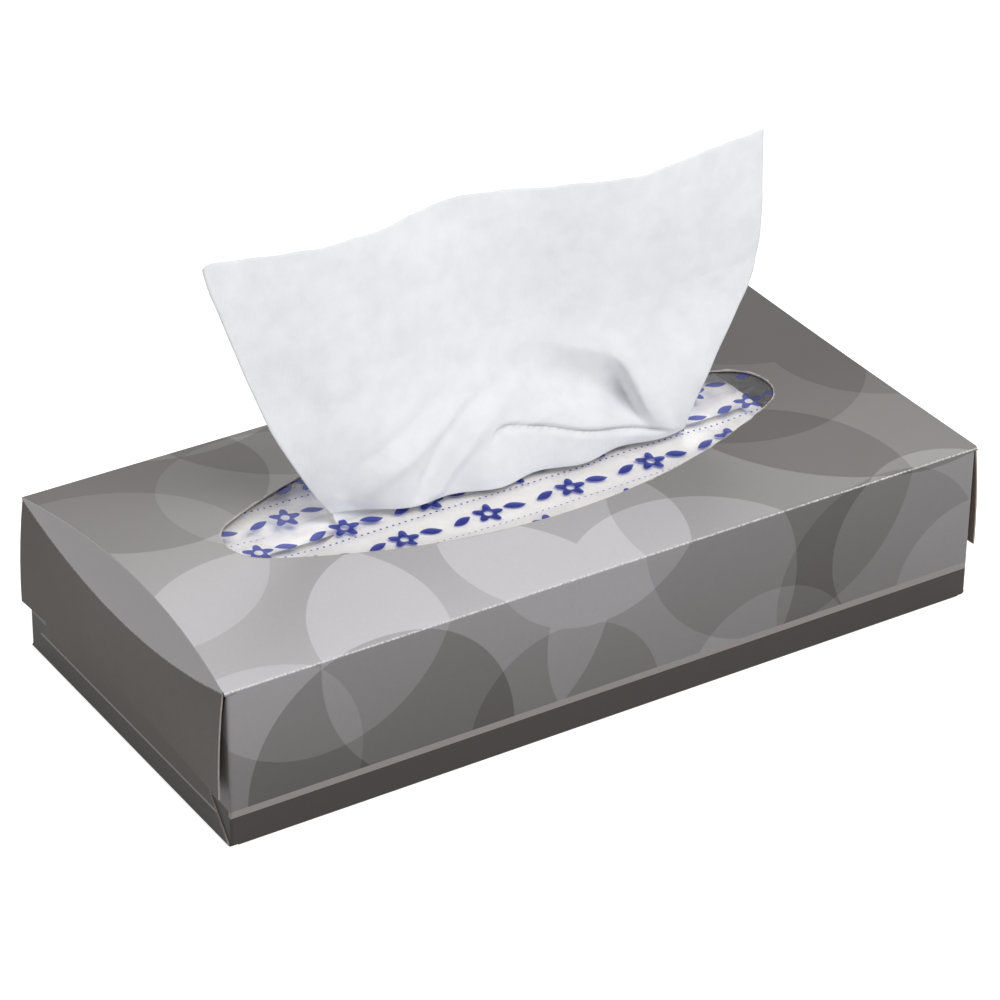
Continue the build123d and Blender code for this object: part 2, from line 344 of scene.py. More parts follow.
def disc_tone(tree, blank, scale):
    """What the translucent discs add to the print's tone where they overlap, some of it a painted sheen."""
    tone = 0.0
    for along, across, radius, lift in PRINTED_DISCS_AND_SHEEN:
        middle = (along * scale, across * scale, 0)
        distance = add_node(tree, VECTOR_MATH, {"operation": "DISTANCE"}, (blank, middle))
        step = add_node(tree, RANGE, None, {
            "Value": distance, "From Min": radius * scale + DISC_EDGE, "From Max": radius * scale - DISC_EDGE,
            "To Max": lift})
        tone = add_node(tree, MATH, {"operation": "ADD"}, (tone, step))
    return tone


def board_finish(tree, colour, grain, gloss):
    """Surface of clay-coated board: satin where it is printed, a little uneven from its pressed fibres."""
    fibres = add_node(tree, NOISE, None, {
        "Vector": grain, "Scale": per_metre(BOARD_FIBRE), "Detail": 4.0, "Roughness": 0.6})
    waves = add_node(tree, NOISE, None, {"Vector": grain, "Scale": per_metre(BOARD_WAVE), "Detail": 1.0})
    fine = add_node(tree, BUMP, None, {"Height": fibres, "Strength": 0.10, "Distance": 0.1 * MM})
    bump = add_node(tree, BUMP, None, {
        "Height": waves, "Strength": 0.25, "Distance": 0.6 * MM, "Normal": fine})
    smoothing = 0.30 * gloss
    rough = add_node(tree, RANGE, None, {
        "Value": fibres, "To Min": 0.62 - smoothing, "To Max": 0.78 - smoothing})
    mottle = add_node(tree, RANGE, None, {"Value": fibres, "To Min": 0.95, "To Max": 1.05})
    mottled = add_node(tree, VECTOR_MATH, {"operation": "SCALE"}, (colour, mottle))
    surface = add_node(tree, PRINCIPLED, None, {
        "Base Color": mottled, "Roughness": rough, "Normal": bump, "IOR": 1.5, "Specular IOR Level": 0.2})
    add_node(tree, "ShaderNodeOutputMaterial", None, {"Surface": surface})


def worn_and_highlit_line(tree, place, middle, half_width, grain):
    """Where a fold at a place of the blank is rubbed and painted with a highlight: a soft line broken by
    sparkles, from 0 to 1.
    """
    away = add_node(tree, MATH, {"operation": "SUBTRACT"}, (place, middle))
    distance = add_node(tree, MATH, {"operation": "ABSOLUTE"}, (away,))
    line = add_node(tree, RANGE, None, {
        "Value": distance, "From Min": half_width, "From Max": half_width * 0.3})
    speckle = add_node(tree, NOISE, None, {
        "Vector": grain, "Scale": per_metre(RUBBED_SPECKLE), "Detail": 2.0})
    broken = add_node(tree, RANGE, None, {
        "Value": speckle, "From Min": 0.40, "From Max": 0.62, "To Min": 0.25, "To Max": 0.95})
    return add_node(tree, MATH, {"operation": "MULTIPLY"}, (line, broken))


def printed_board_material(settings):
    """Folding boxboard, clay coated, offset printed in greys and varnished: a satin sheen over soft tones.
    The walls carry a painted shade, the top's front a painted sheen and the folds painted highlights.
    """
    material, tree = new_material("printed_boxboard")
    blank = add_node(tree, "ShaderNodeUVMap", {"uv_map": "Blank"})
    grain = add_node(tree, "ShaderNodeTexCoord").outputs["Object"]
    fold = settings.depth / MM / 2
    foot = fold + settings.height / MM
    places = add_node(tree, SPLIT, None, (blank,)).outputs
    # Lighter towards the front fold than the back: partly print, partly a painted sheen.
    tone_and_sheen_slope = add_node(tree, RANGE, None, {
        "Value": places["Y"], "From Min": -fold, "From Max": fold, "To Min": FRONT_TONE_AND_SHEEN_SHARE,
        "To Max": BACK_TONE_AND_SHEEN_SHARE})
    to_foot = add_node(tree, RANGE, None, {
        "Value": places["Y"], "From Min": -foot, "From Max": -fold, "To Min": FOOT_TONE_SHARE, "To Max": 0.0})
    blend = add_node(tree, MATH, {"operation": "ADD"}, (tone_and_sheen_slope, to_foot))
    discs = disc_tone(tree, blank, settings.disc_scale)
    tone = add_node(tree, MATH, {"operation": "ADD"}, (discs, blend))
    ramp = add_node(tree, "ShaderNodeValToRGB", None, (tone,))
    inks = (settings.ink_darkest, settings.ink_dark, settings.ink_middle, settings.ink_light,
            settings.ink_lightest)
    while len(ramp.color_ramp.elements) < len(inks):
        ramp.color_ramp.elements.new(0.5)
    for number, ink in enumerate(inks):
        ramp.color_ramp.elements[number].position = number / (len(inks) - 1)
        ramp.color_ramp.elements[number].color = opaque(ink)
    reach = add_node(tree, MATH, {"operation": "ABSOLUTE"}, (places["Y"],))
    # The walls take a darker share of the print: partly its own tone, partly a painted shade.
    wall_shade_dimming = add_node(tree, RANGE, None, {
        "Value": reach, "From Min": fold - FOLD_EDGE, "From Max": fold + FOLD_EDGE, "To Min": 1.0,
        "To Max": settings.wall_print_and_shade_share})
    colour = add_node(tree, VECTOR_MATH, {"operation": "SCALE"}, (ramp, wall_shade_dimming))
    band_top = foot - settings.band_height / MM
    stripe_top = band_top - settings.stripe_height / MM
    length_out = add_node(tree, MATH, {"operation": "ABSOLUTE"}, (places["X"],))
    dust_flap_start = settings.length / MM / 2 + FOLD_REACH
    on_dust_flap = add_node(tree, MATH, {"operation": "GREATER_THAN"}, (length_out, dust_flap_start))
    band_ink = opaque(settings.band_ink)
    # On the dust flaps the light stripe takes the band's dark ink, a painted shade for the gap beside the
    # bottom flap.
    stripe = add_node(tree, MIX, {"data_type": "RGBA"}, (on_dust_flap, opaque(settings.stripe_ink), band_ink))
    for edge, ink in ((stripe_top, stripe), (band_top, band_ink)):
        there = add_node(tree, MATH, {"operation": "GREATER_THAN"}, (reach, edge))
        colour = add_node(tree, MIX, {"data_type": "RGBA"}, (there, colour, ink))
    # Pale lines along the folds: rubbed wear, and on the top fold a painted highlight too.
    for crease, (past, half_width) in ((fold, TOP_FOLD_WEAR_AND_HIGHLIGHT), (foot, FOOT_FOLD_WEAR)):
        worn_and_highlit = worn_and_highlit_line(tree, reach, crease + past, half_width, grain)
        colour = add_node(tree, MIX, {"data_type": "RGBA"}, (worn_and_highlit, colour, opaque(linear(RUBBED_PRINT_AND_HIGHLIGHT))))
    board_finish(tree, colour, grain, gloss=1.0)
    return material


def end_board_material(settings):
    """The same varnished boxboard on the ends, in plain greys: a lighter lens, partly painted light, a dark
    flap, a thin line.
    """
    material, tree = new_material("plain_printed_boxboard")
    creases = add_node(tree, "ShaderNodeUVMap", {"uv_map": "Creases"})
    drops = add_node(tree, SPLIT, None, (creases,)).outputs
    grain = add_node(tree, "ShaderNodeTexCoord").outputs["Object"]
    height = add_node(tree, SPLIT, None, (grain,)).outputs["Z"]
    flap = add_node(tree, MATH, {"operation": "GREATER_THAN"}, (drops["X"], 0.0))
    # The lens's lighter grey is partly painted light.
    colour = add_node(tree, MIX, {"data_type": "RGBA"}, (
        flap, opaque(settings.lens_ink_and_light), opaque(settings.flap_ink)))
    line_foot = settings.line_place - settings.line_height
    for top, ink in ((settings.line_place, settings.stripe_ink), (line_foot, settings.band_ink)):
        there = add_node(tree, MATH, {"operation": "LESS_THAN"}, (height, top))
        colour = add_node(tree, MIX, {"data_type": "RGBA"}, (there, colour, opaque(ink)))
    # Pale lines along the end's creases: rubbed wear and a painted highlight.
    for drop, (half_width, paleness) in ((drops["Y"], LENS_FOLD_WEAR_AND_HIGHLIGHT), (drops["X"], FLAP_FOLD_WEAR_AND_HIGHLIGHT)):
        worn_and_highlit = worn_and_highlit_line(tree, drop, END_FOLD_PAST, half_width, grain)
        softened = add_node(tree, MATH, {"operation": "MULTIPLY"}, (worn_and_highlit, paleness))
        colour = add_node(tree, MIX, {"data_type": "RGBA"}, (softened, colour, opaque(linear(RUBBED_END_AND_HIGHLIGHT))))
    board_finish(tree, colour, grain, gloss=0.9)
    return material


def raw_board_material(name, hex_colour):
    """Uncoated recycled board: matt grey-brown pulp with darker and paler fibres."""
    material, tree = new_material(name)
    grain = add_node(tree, "ShaderNodeTexCoord").outputs["Object"]
    pulp = add_node(tree, NOISE, None, {"Vector": grain, "Scale": per_metre(PULP_CLUMP), "Detail": 5.0})
    shade = add_node(tree, RANGE, None, {
        "Value": pulp, "From Min": 0.3, "From Max": 0.7, "To Min": 0.86, "To Max": 1.08})
    colour = add_node(tree, VECTOR_MATH, {"operation": "SCALE"}, (linear(hex_colour), shade))
    board_finish(tree, colour, grain, gloss=0.0)
    return material


# Sizes of the folded carton that the scene needs beside its settings, in millimetres: the glue under the
# end flaps, how far a rounded fold reaches, how far a dust flap's fold comes out past its plane, how deep
# a face of the board's outside lies at most, how near a face lies to the plane that it is in, and the
# bands of height in which the end flaps' edges are
GLUE_LINE = 0.12
FOLD_REACH = 1.0
FOLD_PAST = 0.1
SKIN = 0.35
NEAR = 0.08
HOOD_DROP = 33.0
HOOD_FOOT_LOW = 14.0
HOOD_FOOT_HIGH = 17.0
BOTTOM_FLAP_TOP = 28.0
UNDERSIDE = 0.5

# How squarely a face looks one way, as the cosine of the angle between
BARELY = 0.2
HALFWAY = 0.5
MOSTLY = 0.7
SQUARELY = 0.9


class Carton:
    """The carton's forms in millimetres, by the part's own rules."""

    def __init__(self, settings):
        self.half_length = settings.length / MM / 2
        self.half_depth = settings.depth / MM / 2
        self.height = settings.height / MM
        self.crown = settings.crown / MM
        self.board = settings.board / MM
        self.upper_dip = settings.upper_crease_dip / MM
        self.lower_dip = settings.lower_crease_dip / MM
        self.flap_face = self.half_length + GLUE_LINE + self.board
        self.opening_half = settings.opening_length / MM / 2
        self.opening_rise = settings.opening_width / MM / 2
        self.opening_end = settings.opening_end_radius / MM

    def top_height(self, y):
        """Height of the arched top panel's outside at y."""
        radius = (self.half_depth ** 2 + self.crown ** 2) / (2 * self.crown)
        across = np.minimum(np.abs(y), self.half_depth)
        return self.height + self.crown - radius + np.sqrt(radius ** 2 - across ** 2)

    def lens_share(self, y):
        """How open the lens is at y: 1 in the middle and 0 at the corners."""
        return np.maximum(1 - (y / self.half_depth) ** 2, 0.0)

    def crease_x(self, y):
        """Place along the carton of the crease between the top panel and the lens."""
        return self.flap_face - self.upper_dip * self.lens_share(y)

    def crease_low(self, y):
        """Height of the crease between the lens and the top flap."""
        return self.height - self.lower_dip * self.lens_share(y)


def mesh_array(items, name, width):
    """Values of a mesh's items as an array with one row for each item."""
    values = np.empty(len(items) * width, dtype=np.float32)
    items.foreach_get(name, values)
    return values.reshape(-1, width).astype(float)


def merged_triangles(source):
    """A CAD mesh's points in millimetres, merged, with its triangles and their corners' smooth normals."""
    points = mesh_array(source.vertices, "co", 3) / MM
    merged, place = np.unique(np.round(points, 3), axis=0, return_inverse=True)
    corners = mesh_array(source.loops, "vertex_index", 1).astype(int)[:, 0]
    triangles = place.ravel()[corners].reshape(-1, 3)
    normals = mesh_array(source.corner_normals, "vector", 3).reshape(-1, 3, 3)
    whole = (triangles != np.roll(triangles, 1, axis=1)).all(axis=1)
    return merged, triangles[whole], normals[whole]


def sort_carton_faces(form, centres, normals):
    """Material of each face: 0 print, 1 plain end print, 2 raw inside, 3 cut edge, 4 the torn opening."""
    x, y, z = centres.T
    reach, depth = np.abs(x), np.abs(y)
    outward = normals[:, 0] * np.sign(x)
    sideways = normals[:, 1] * np.sign(y)
    upward = normals[:, 2]
    inner_end = form.half_length - form.board
    in_skin = np.minimum(np.minimum(form.top_height(y) - z, form.half_depth - depth), z) < SKIN
    faces_out = sideways * depth / form.half_depth + upward * (2 * z / form.height - 1) > BARELY
    at_fold = depth > form.half_depth - FOLD_REACH
    past_end = reach > form.half_length + NEAR
    dust_fold = (reach > inner_end - FOLD_REACH) & (reach < inner_end + FOLD_PAST) & at_fold
    printed = faces_out & ((in_skin & (outward < HALFWAY)) | dust_fold)
    on_dust_flap = (outward > SQUARELY) & (np.abs(reach - inner_end) < NEAR)
    hood = (outward > BARELY) & (reach > form.crease_x(y) - SKIN) & (z > form.height - HOOD_DROP)
    end_feet = (outward > BARELY) & (reach > form.half_length - FOLD_REACH) & (z < BOTTOM_FLAP_TOP)
    on_end_plane = (np.abs(reach - form.half_length) < NEAR) | (z < FOLD_REACH)
    bottom_flap = end_feet & (depth < form.half_depth - 2 * form.board) & on_end_plane
    hood_edge = past_end & (sideways > MOSTLY) & at_fold
    hood_foot = past_end & (upward < -MOSTLY) & (z > HOOD_FOOT_LOW) & (z < HOOD_FOOT_HIGH)
    in_board = np.abs(reach - form.half_length + form.board / 2) < form.board / 2
    sideward = (np.abs(outward) < HALFWAY) & (np.abs(sideways) > BARELY)
    flap_side = in_board & sideward & (z > FOLD_REACH) & (z < BOTTOM_FLAP_TOP)
    near_oval = (depth < form.opening_rise + FOLD_REACH) & (reach < form.opening_half + FOLD_REACH)
    opening = near_oval & (np.abs(upward) < HALFWAY) & (z > form.height - FOLD_REACH)
    kind = np.full(len(centres), 2)
    kind[printed | on_dust_flap] = 0
    kind[hood | bottom_flap] = 1
    kind[hood_edge | hood_foot | flap_side] = 3
    kind[opening] = 4
    return kind, on_dust_flap


def blank_places(form, points, on_dust_flap, under):
    """Places on the unfolded blank, in millimetres: along the carton, and round it from the top's middle."""
    x, y, z = points.T
    side = np.where(y < 0, -1.0, 1.0)
    along = np.where(on_dust_flap, np.sign(x) * (form.half_length + form.half_depth - np.abs(y)), x)
    round_it = np.abs(y) + form.top_height(y) - z
    round_it = np.where(on_dust_flap, form.half_depth + form.height - z, round_it)
    round_it = np.where(under, 2 * form.half_depth + form.height - np.abs(y), round_it)
    return np.column_stack([along, side * round_it])


def crease_drops(form, points):
    """How far below the end's lower and upper crease points of the carton lie, in millimetres."""
    _, y, z = points.T
    return np.column_stack([form.crease_low(y) - z, form.top_height(y) - z])


class TISSUEBOX_OT_carton(bpy.types.Operator):
    """Prints the folded carton: tonal discs with a painted sheen, band and stripe, plain ends, worn folds
    with a painted highlight, painted shade on the walls and pale cut edges
    """

    bl_idname = "tissue_box.carton"
    bl_label = "Print the carton"

    def execute(self, context):
        settings = context.scene.tissue_box_carton
        form = Carton(settings)
        points, triangles, corner_normals = merged_triangles(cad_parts["carton"].data)
        materials = [
            printed_board_material(settings),
            end_board_material(settings),
            raw_board_material("raw_boxboard_inside", "#83756B"),
            raw_board_material("boxboard_cut_edge", "#9C948C"),
            raw_board_material("torn_boxboard", "#B8B3AD"),
        ]
        piece = new_piece("printed_carton", points, triangles.tolist(), materials)
        mesh = piece.data
        mesh.normals_split_custom_set(corner_normals.reshape(-1, 3))
        normals = mesh_array(mesh.polygons, "normal", 3)
        centres = mesh_array(mesh.polygons, "center", 3) / MM
        kind, on_dust_flap = sort_carton_faces(form, centres, normals)
        mesh.polygons.foreach_set("material_index", kind.astype(np.int32))
        corners = points[triangles.ravel()]
        under = (normals[:, 2] < -HALFWAY) & (centres[:, 2] < UNDERSIDE)
        places = blank_places(form, corners, np.repeat(on_dust_flap, 3), np.repeat(under, 3))
        for name, values in (("Blank", places), ("Creases", crease_drops(form, corners))):
            mesh.uv_layers.new(name=name).data.foreach_set("uv", values.astype(np.float32).ravel())
        mesh.update()
        finish_piece(piece, "carton_board", "carton")
        return {"FINISHED"}


# The torn rim of the opening: its nicks' distance and length, how far out the ring that carries them
# lies, how far the print has torn back from the cut at least and on average, and how high the torn ribbon
# lies over the print, all in millimetres
NICK_PITCH = 3.4
NICK_LENGTH = 0.26
NICK_RING = 0.05
NICK_DEPTH_SHARE = 0.55
NICK_RING_POINTS = 96
RIM_POINTS = 480
LEAST_TEAR = 0.03
MEAN_TEAR = 0.28
TEAR_LIFT = 0.02

# How much the tear's width changes, over what length, both in millimetres, and the noise's own height
TEAR_CHANGES = ((0.36, 4.0, 0.5), (0.22, 1.0, 6.5))


def oval_points(half, rise, end_radius, count):
    """Points round an oval of two long arcs and two small end arcs, from its +X tip."""
    side_radius = (half ** 2 + rise ** 2 - 2 * half * end_radius) / (2 * (rise - end_radius))
    turn = math.atan2(half - end_radius, side_radius - rise)
    tip = [(half - end_radius + end_radius * math.cos(a), end_radius * math.sin(a))
           for a in np.linspace(0, math.pi / 2 - turn, count // 8, endpoint=False)]
    long_side = [(side_radius * math.sin(a), side_radius * math.cos(a) - side_radius + rise)
                 for a in np.linspace(turn, 0, count // 2, endpoint=False)]
    quarter = tip + long_side
    half_round = quarter + [(0.0, rise)] + [(-x, y) for x, y in reversed(quarter)]
    return half_round + [(x, -y) for x, y in reversed(half_round[1:-1])]


def nick_tree(material):
    """Geometry nodes that set torn nicks along a ring: what is left of the ties of the cut-out oval."""
    tree, given = geometry_tree("opening_nicks", {
        "Pitch": "Float", "Reach": "Float", "Kept": "Float", "Seed": "Int"})
    ring = add_node(tree, "GeometryNodeMeshToCurve", None, {"Mesh": given["Geometry"]})
    stops = add_node(tree, "GeometryNodeResampleCurve", {"mode": "LENGTH"}, {
        "Curve": ring, "Length": given["Pitch"]})
    tooth = add_node(tree, "GeometryNodeMeshCone", {"fill_type": "TRIANGLE_FAN"}, {
        "Vertices": 5, "Radius Top": 0.25, "Radius Bottom": 1.0, "Depth": 1.2})
    tangent = add_node(tree, "GeometryNodeInputTangent")
    inward = add_node(tree, VECTOR_MATH, {"operation": "CROSS_PRODUCT"}, ((0, 0, 1), tangent))
    turned = add_node(tree, "FunctionNodeAlignRotationToVector", {"axis": "Z", "pivot_axis": "AUTO"}, {
        "Vector": inward})
    kept = add_node(tree, "FunctionNodeRandomValue", {"data_type": "BOOLEAN"}, {
        "Probability": given["Kept"], "Seed": given["Seed"]})
    size = add_node(tree, "FunctionNodeRandomValue", {"data_type": "FLOAT"}, {
        2: 0.45, 3: 1.0, "Seed": given["Seed"]})
    scale = add_node(tree, MATH, {"operation": "MULTIPLY"}, (size, given["Reach"]))
    teeth = add_node(tree, "GeometryNodeInstanceOnPoints", None, {
        "Points": stops, "Instance": tooth, "Selection": kept, "Rotation": turned, "Scale": scale})
    real = add_node(tree, "GeometryNodeRealizeInstances", None, (teeth,))
    made = add_node(tree, "GeometryNodeSetMaterial", None, {"Geometry": real, "Material": material})
    add_node(tree, "NodeGroupOutput", None, (made,))
    return tree


class TISSUEBOX_OT_rim(bpy.types.Operator):
    """Frays the opening's edge: a pale torn rim, with the nicks that the perforation leaves"""

    bl_idname = "tissue_box.rim"
    bl_label = "Fray the opening's rim"

    def execute(self, context):
        form = Carton(context.scene.tissue_box_carton)
        material = bpy.data.materials["torn_boxboard"]
        self.nick(form, material)
        self.fray(form, material)
        return {"FINISHED"}

    def nick(self, form, material):
        """What is left of the ties that held the cut-out oval, round the opening."""
        half, rise = form.opening_half + NICK_RING, form.opening_rise + NICK_RING
        ring = oval_points(half, rise, form.opening_end, NICK_RING_POINTS)
        points = [(x, y, float(form.top_height(y)) - form.board * NICK_DEPTH_SHARE) for x, y in ring]
        piece = new_piece("opening_nicks", points, [])
        piece.data.edges.add(len(points))
        ends = [[number, (number + 1) % len(points)] for number in range(len(points))]
        piece.data.edges.foreach_set("vertices", np.array(ends, dtype=np.int32).ravel())
        add_geometry_modifier(piece, nick_tree(material), {
            "Pitch": NICK_PITCH * MM, "Reach": NICK_LENGTH * MM, "Kept": 0.7, "Seed": 4})
        baked(piece)
        if not piece.data.polygons:
            raise RuntimeError("the opening has no nicks")
        finish_piece(piece, "carton_board")

    def fray(self, form, material):
        """The rim itself: a thin uneven ribbon where the print has torn back from the cut."""
        ring = np.array(oval_points(form.opening_half, form.opening_rise, form.opening_end, RIM_POINTS))
        run = np.roll(ring, -1, axis=0) - np.roll(ring, 1, axis=0)
        outward = np.column_stack([-run[:, 1], run[:, 0]]) / np.hypot(*run.T)[:, None]
        outward *= np.sign((outward * ring).sum(axis=1))[:, None]
        width = np.full(len(ring), MEAN_TEAR)
        for change, size, level in TEAR_CHANGES:
            width += [change * noise.noise((x / size, y / size, level)) for x, y in ring]
        outer = ring + outward * np.maximum(width, LEAST_TEAR)[:, None]
        points = [(x, y, float(form.top_height(y)) + TEAR_LIFT) for x, y in np.vstack([ring, outer])]
        count = len(ring)
        faces = [(n, (n + 1) % count, count + (n + 1) % count, count + n) for n in range(count)]
        rim = new_piece("torn_rim", points, faces, [material])
        if rim.data.polygons[0].normal.z < 0:
            rim.data.flip_normals()
        finish_piece(rim, "carton_board")


# The sprigs printed on the film, in millimetres: a blossom of five petals with an open eye, a leaf on
# either side of it, and a line of dots under each row
PETALS = 5
BLOSSOM_RADIUS = 3.3
PETAL_SWELL = 1.05
EYE_RADIUS = 1.2
LEAF_PLACE = 8.2
LEAF_HALF_LENGTH = 3.1
LEAF_HALF_WIDTH = 1.5
LEAF_LEAN = 0.9
LEAF_EDGE = (-0.08, 0.12)
DOT_PITCH = 1.923
DOT_RADIUS_SHARE = 0.17
DOT_EDGE_SHARE = 0.03
DOT_LINE = -4.6
PRINT_EDGE = 0.1
ROW_SHIFT_SHARE = 0.42


def sprig_print(tree, place, settings):
    """Where the film is printed: rows of small blossoms between leaves, with dots under them, from 0 to 1."""
    row_pitch, pitch = settings.row_pitch / MM, settings.motif_pitch / MM
    axes = add_node(tree, SPLIT, None, (place,)).outputs
    row_share = add_node(tree, MATH, {"operation": "DIVIDE"}, (axes["Y"], row_pitch))
    row = add_node(tree, MATH, {"operation": "FLOOR"}, (row_share,))
    up = add_node(tree, MATH, {"operation": "FLOORED_MODULO"}, (axes["Y"], row_pitch))
    y = add_node(tree, MATH, {"operation": "SUBTRACT"}, (up, row_pitch / 2))
    shifted = add_node(tree, MATH, {"operation": "MULTIPLY_ADD"}, (row, pitch * ROW_SHIFT_SHARE, axes["X"]))
    side = add_node(tree, MATH, {"operation": "FLOORED_MODULO"}, (shifted, pitch))
    x = add_node(tree, MATH, {"operation": "SUBTRACT"}, (side, pitch / 2))
    spot = add_node(tree, "ShaderNodeCombineXYZ", None, (x, y))
    radius = add_node(tree, VECTOR_MATH, {"operation": "LENGTH"}, (spot,))
    angle = add_node(tree, MATH, {"operation": "ARCTAN2"}, (y, x))
    petals = add_node(tree, MATH, {"operation": "MULTIPLY"}, (angle, PETALS))
    lobe = add_node(tree, MATH, {"operation": "COSINE"}, (petals,))
    rim = add_node(tree, MATH, {"operation": "MULTIPLY_ADD"}, (lobe, PETAL_SWELL, BLOSSOM_RADIUS))
    inside = add_node(tree, MATH, {"operation": "SUBTRACT"}, (rim, radius))
    blossom = add_node(tree, RANGE, None, {"Value": inside, "From Min": -PRINT_EDGE, "From Max": PRINT_EDGE})
    eye = add_node(tree, RANGE, None, {
        "Value": radius, "From Min": EYE_RADIUS - PRINT_EDGE, "From Max": EYE_RADIUS + PRINT_EDGE})
    open_blossom = add_node(tree, MATH, {"operation": "MULTIPLY"}, (blossom, eye))
    aside = add_node(tree, MATH, {"operation": "ABSOLUTE"}, (x,))
    from_leaf = add_node(tree, MATH, {"operation": "SUBTRACT"}, (aside, LEAF_PLACE))
    leaf_share = add_node(tree, MATH, {"operation": "DIVIDE"}, (from_leaf, LEAF_HALF_LENGTH))
    leaf_square = add_node(tree, MATH, {"operation": "MULTIPLY"}, (leaf_share, leaf_share))
    leaf_rim = add_node(tree, MATH, {"operation": "MULTIPLY_ADD"}, (
        leaf_square, -LEAF_HALF_WIDTH, LEAF_HALF_WIDTH))
    bend = add_node(tree, MATH, {"operation": "MULTIPLY_ADD"}, (leaf_share, LEAF_LEAN, y))
    height = add_node(tree, MATH, {"operation": "ABSOLUTE"}, (bend,))
    in_leaf = add_node(tree, MATH, {"operation": "SUBTRACT"}, (leaf_rim, height))
    leaf = add_node(tree, RANGE, None, {
        "Value": in_leaf, "From Min": LEAF_EDGE[0], "From Max": LEAF_EDGE[1]})
    dots = add_node(tree, "ShaderNodeTexVoronoi", {"voronoi_dimensions": "2D"}, {
        "Vector": place, "Scale": 1 / DOT_PITCH, "Randomness": 0.0})
    dot = add_node(tree, RANGE, None, {
        "Value": dots, "From Min": DOT_RADIUS_SHARE + DOT_EDGE_SHARE,
        "From Max": DOT_RADIUS_SHARE - DOT_EDGE_SHARE})
    low = add_node(tree, MATH, {"operation": "LESS_THAN"}, (y, DOT_LINE))
    dotted = add_node(tree, MATH, {"operation": "MULTIPLY"}, (dot, low))
    sprig = add_node(tree, MATH, {"operation": "MAXIMUM"}, (open_blossom, leaf))
    return add_node(tree, MATH, {"operation": "MAXIMUM"}, (sprig, dotted))


def film_material(settings):
    """Cast polyethylene film, about 30 microns thick: clear and glossy, printed with rows of small sprigs."""
    material, tree = new_material("clear_film_printed")
    place = add_node(tree, "ShaderNodeUVMap", {"uv_map": "Sheet"})
    printed = sprig_print(tree, place, settings)
    grain = add_node(tree, "ShaderNodeTexCoord").outputs["Object"]
    ripples = add_node(tree, NOISE, None, {
        "Vector": grain, "Scale": per_metre(FILM_RIPPLE), "Detail": 2.0, "Distortion": 0.6})
    normal = add_node(tree, BUMP, None, {"Height": ripples, "Strength": 0.3, "Distance": 0.6 * MM})
    through = add_node(tree, "ShaderNodeBsdfTransparent", None, {"Color": opaque(linear("#FFFEFC"))})
    haze = add_node(tree, PRINCIPLED, None, {
        "Base Color": opaque(linear("#EDEBEB")), "Roughness": 0.3, "Normal": normal})
    body = add_node(tree, MIX_SHADER, None, (0.02, through, haze))
    shine = add_node(tree, "ShaderNodeBsdfGlossy", None, {"Roughness": 0.2, "Normal": normal})
    mirror = add_node(tree, "ShaderNodeFresnel", None, {"IOR": 1.33, "Normal": normal})
    glossy = add_node(tree, MIX_SHADER, None, (mirror, body, shine))
    pigment = add_node(tree, PRINCIPLED, None, {
        "Base Color": opaque(settings.ink), "Roughness": 0.3, "Normal": normal})
    tint = add_node(tree, "ShaderNodeBsdfTransparent", None, {
        "Color": opaque([math.sqrt(channel) for channel in settings.ink])})
    ink = add_node(tree, MIX_SHADER, None, (0.45, tint, pigment))
    surface = add_node(tree, MIX_SHADER, None, (printed, glossy, ink))
    add_node(tree, "ShaderNodeOutputMaterial", None, {"Surface": surface})
    return material


# The film's grid, and how its rows crowd towards the slit
FILM_COLUMNS = 170
FILM_ROWS = 34
FILM_CROWDING = 1.15

# How much of the film round the rim stays taut, as a share of the oval's radius squared
TAUT_SHARE = 0.35

# Wrinkles that run out from beyond the slit's ends: how far beyond, in millimetres, how many there are in
# a radian, how much they turn in a millimetre, and their height as a share of the wrinkles' height
SPOKE_START = 6.0
SPOKES = 9
SPOKE_TURN = 0.05
SPOKE_SHARE = 0.6

# Loose wrinkles: height as a share, length along and across the film in millimetres, the noise's height
LOOSE_WRINKLE_SHARES = ((0.5, 16.0, 5.0, 3.7), (0.4, 5.0, 9.0, 8.1))


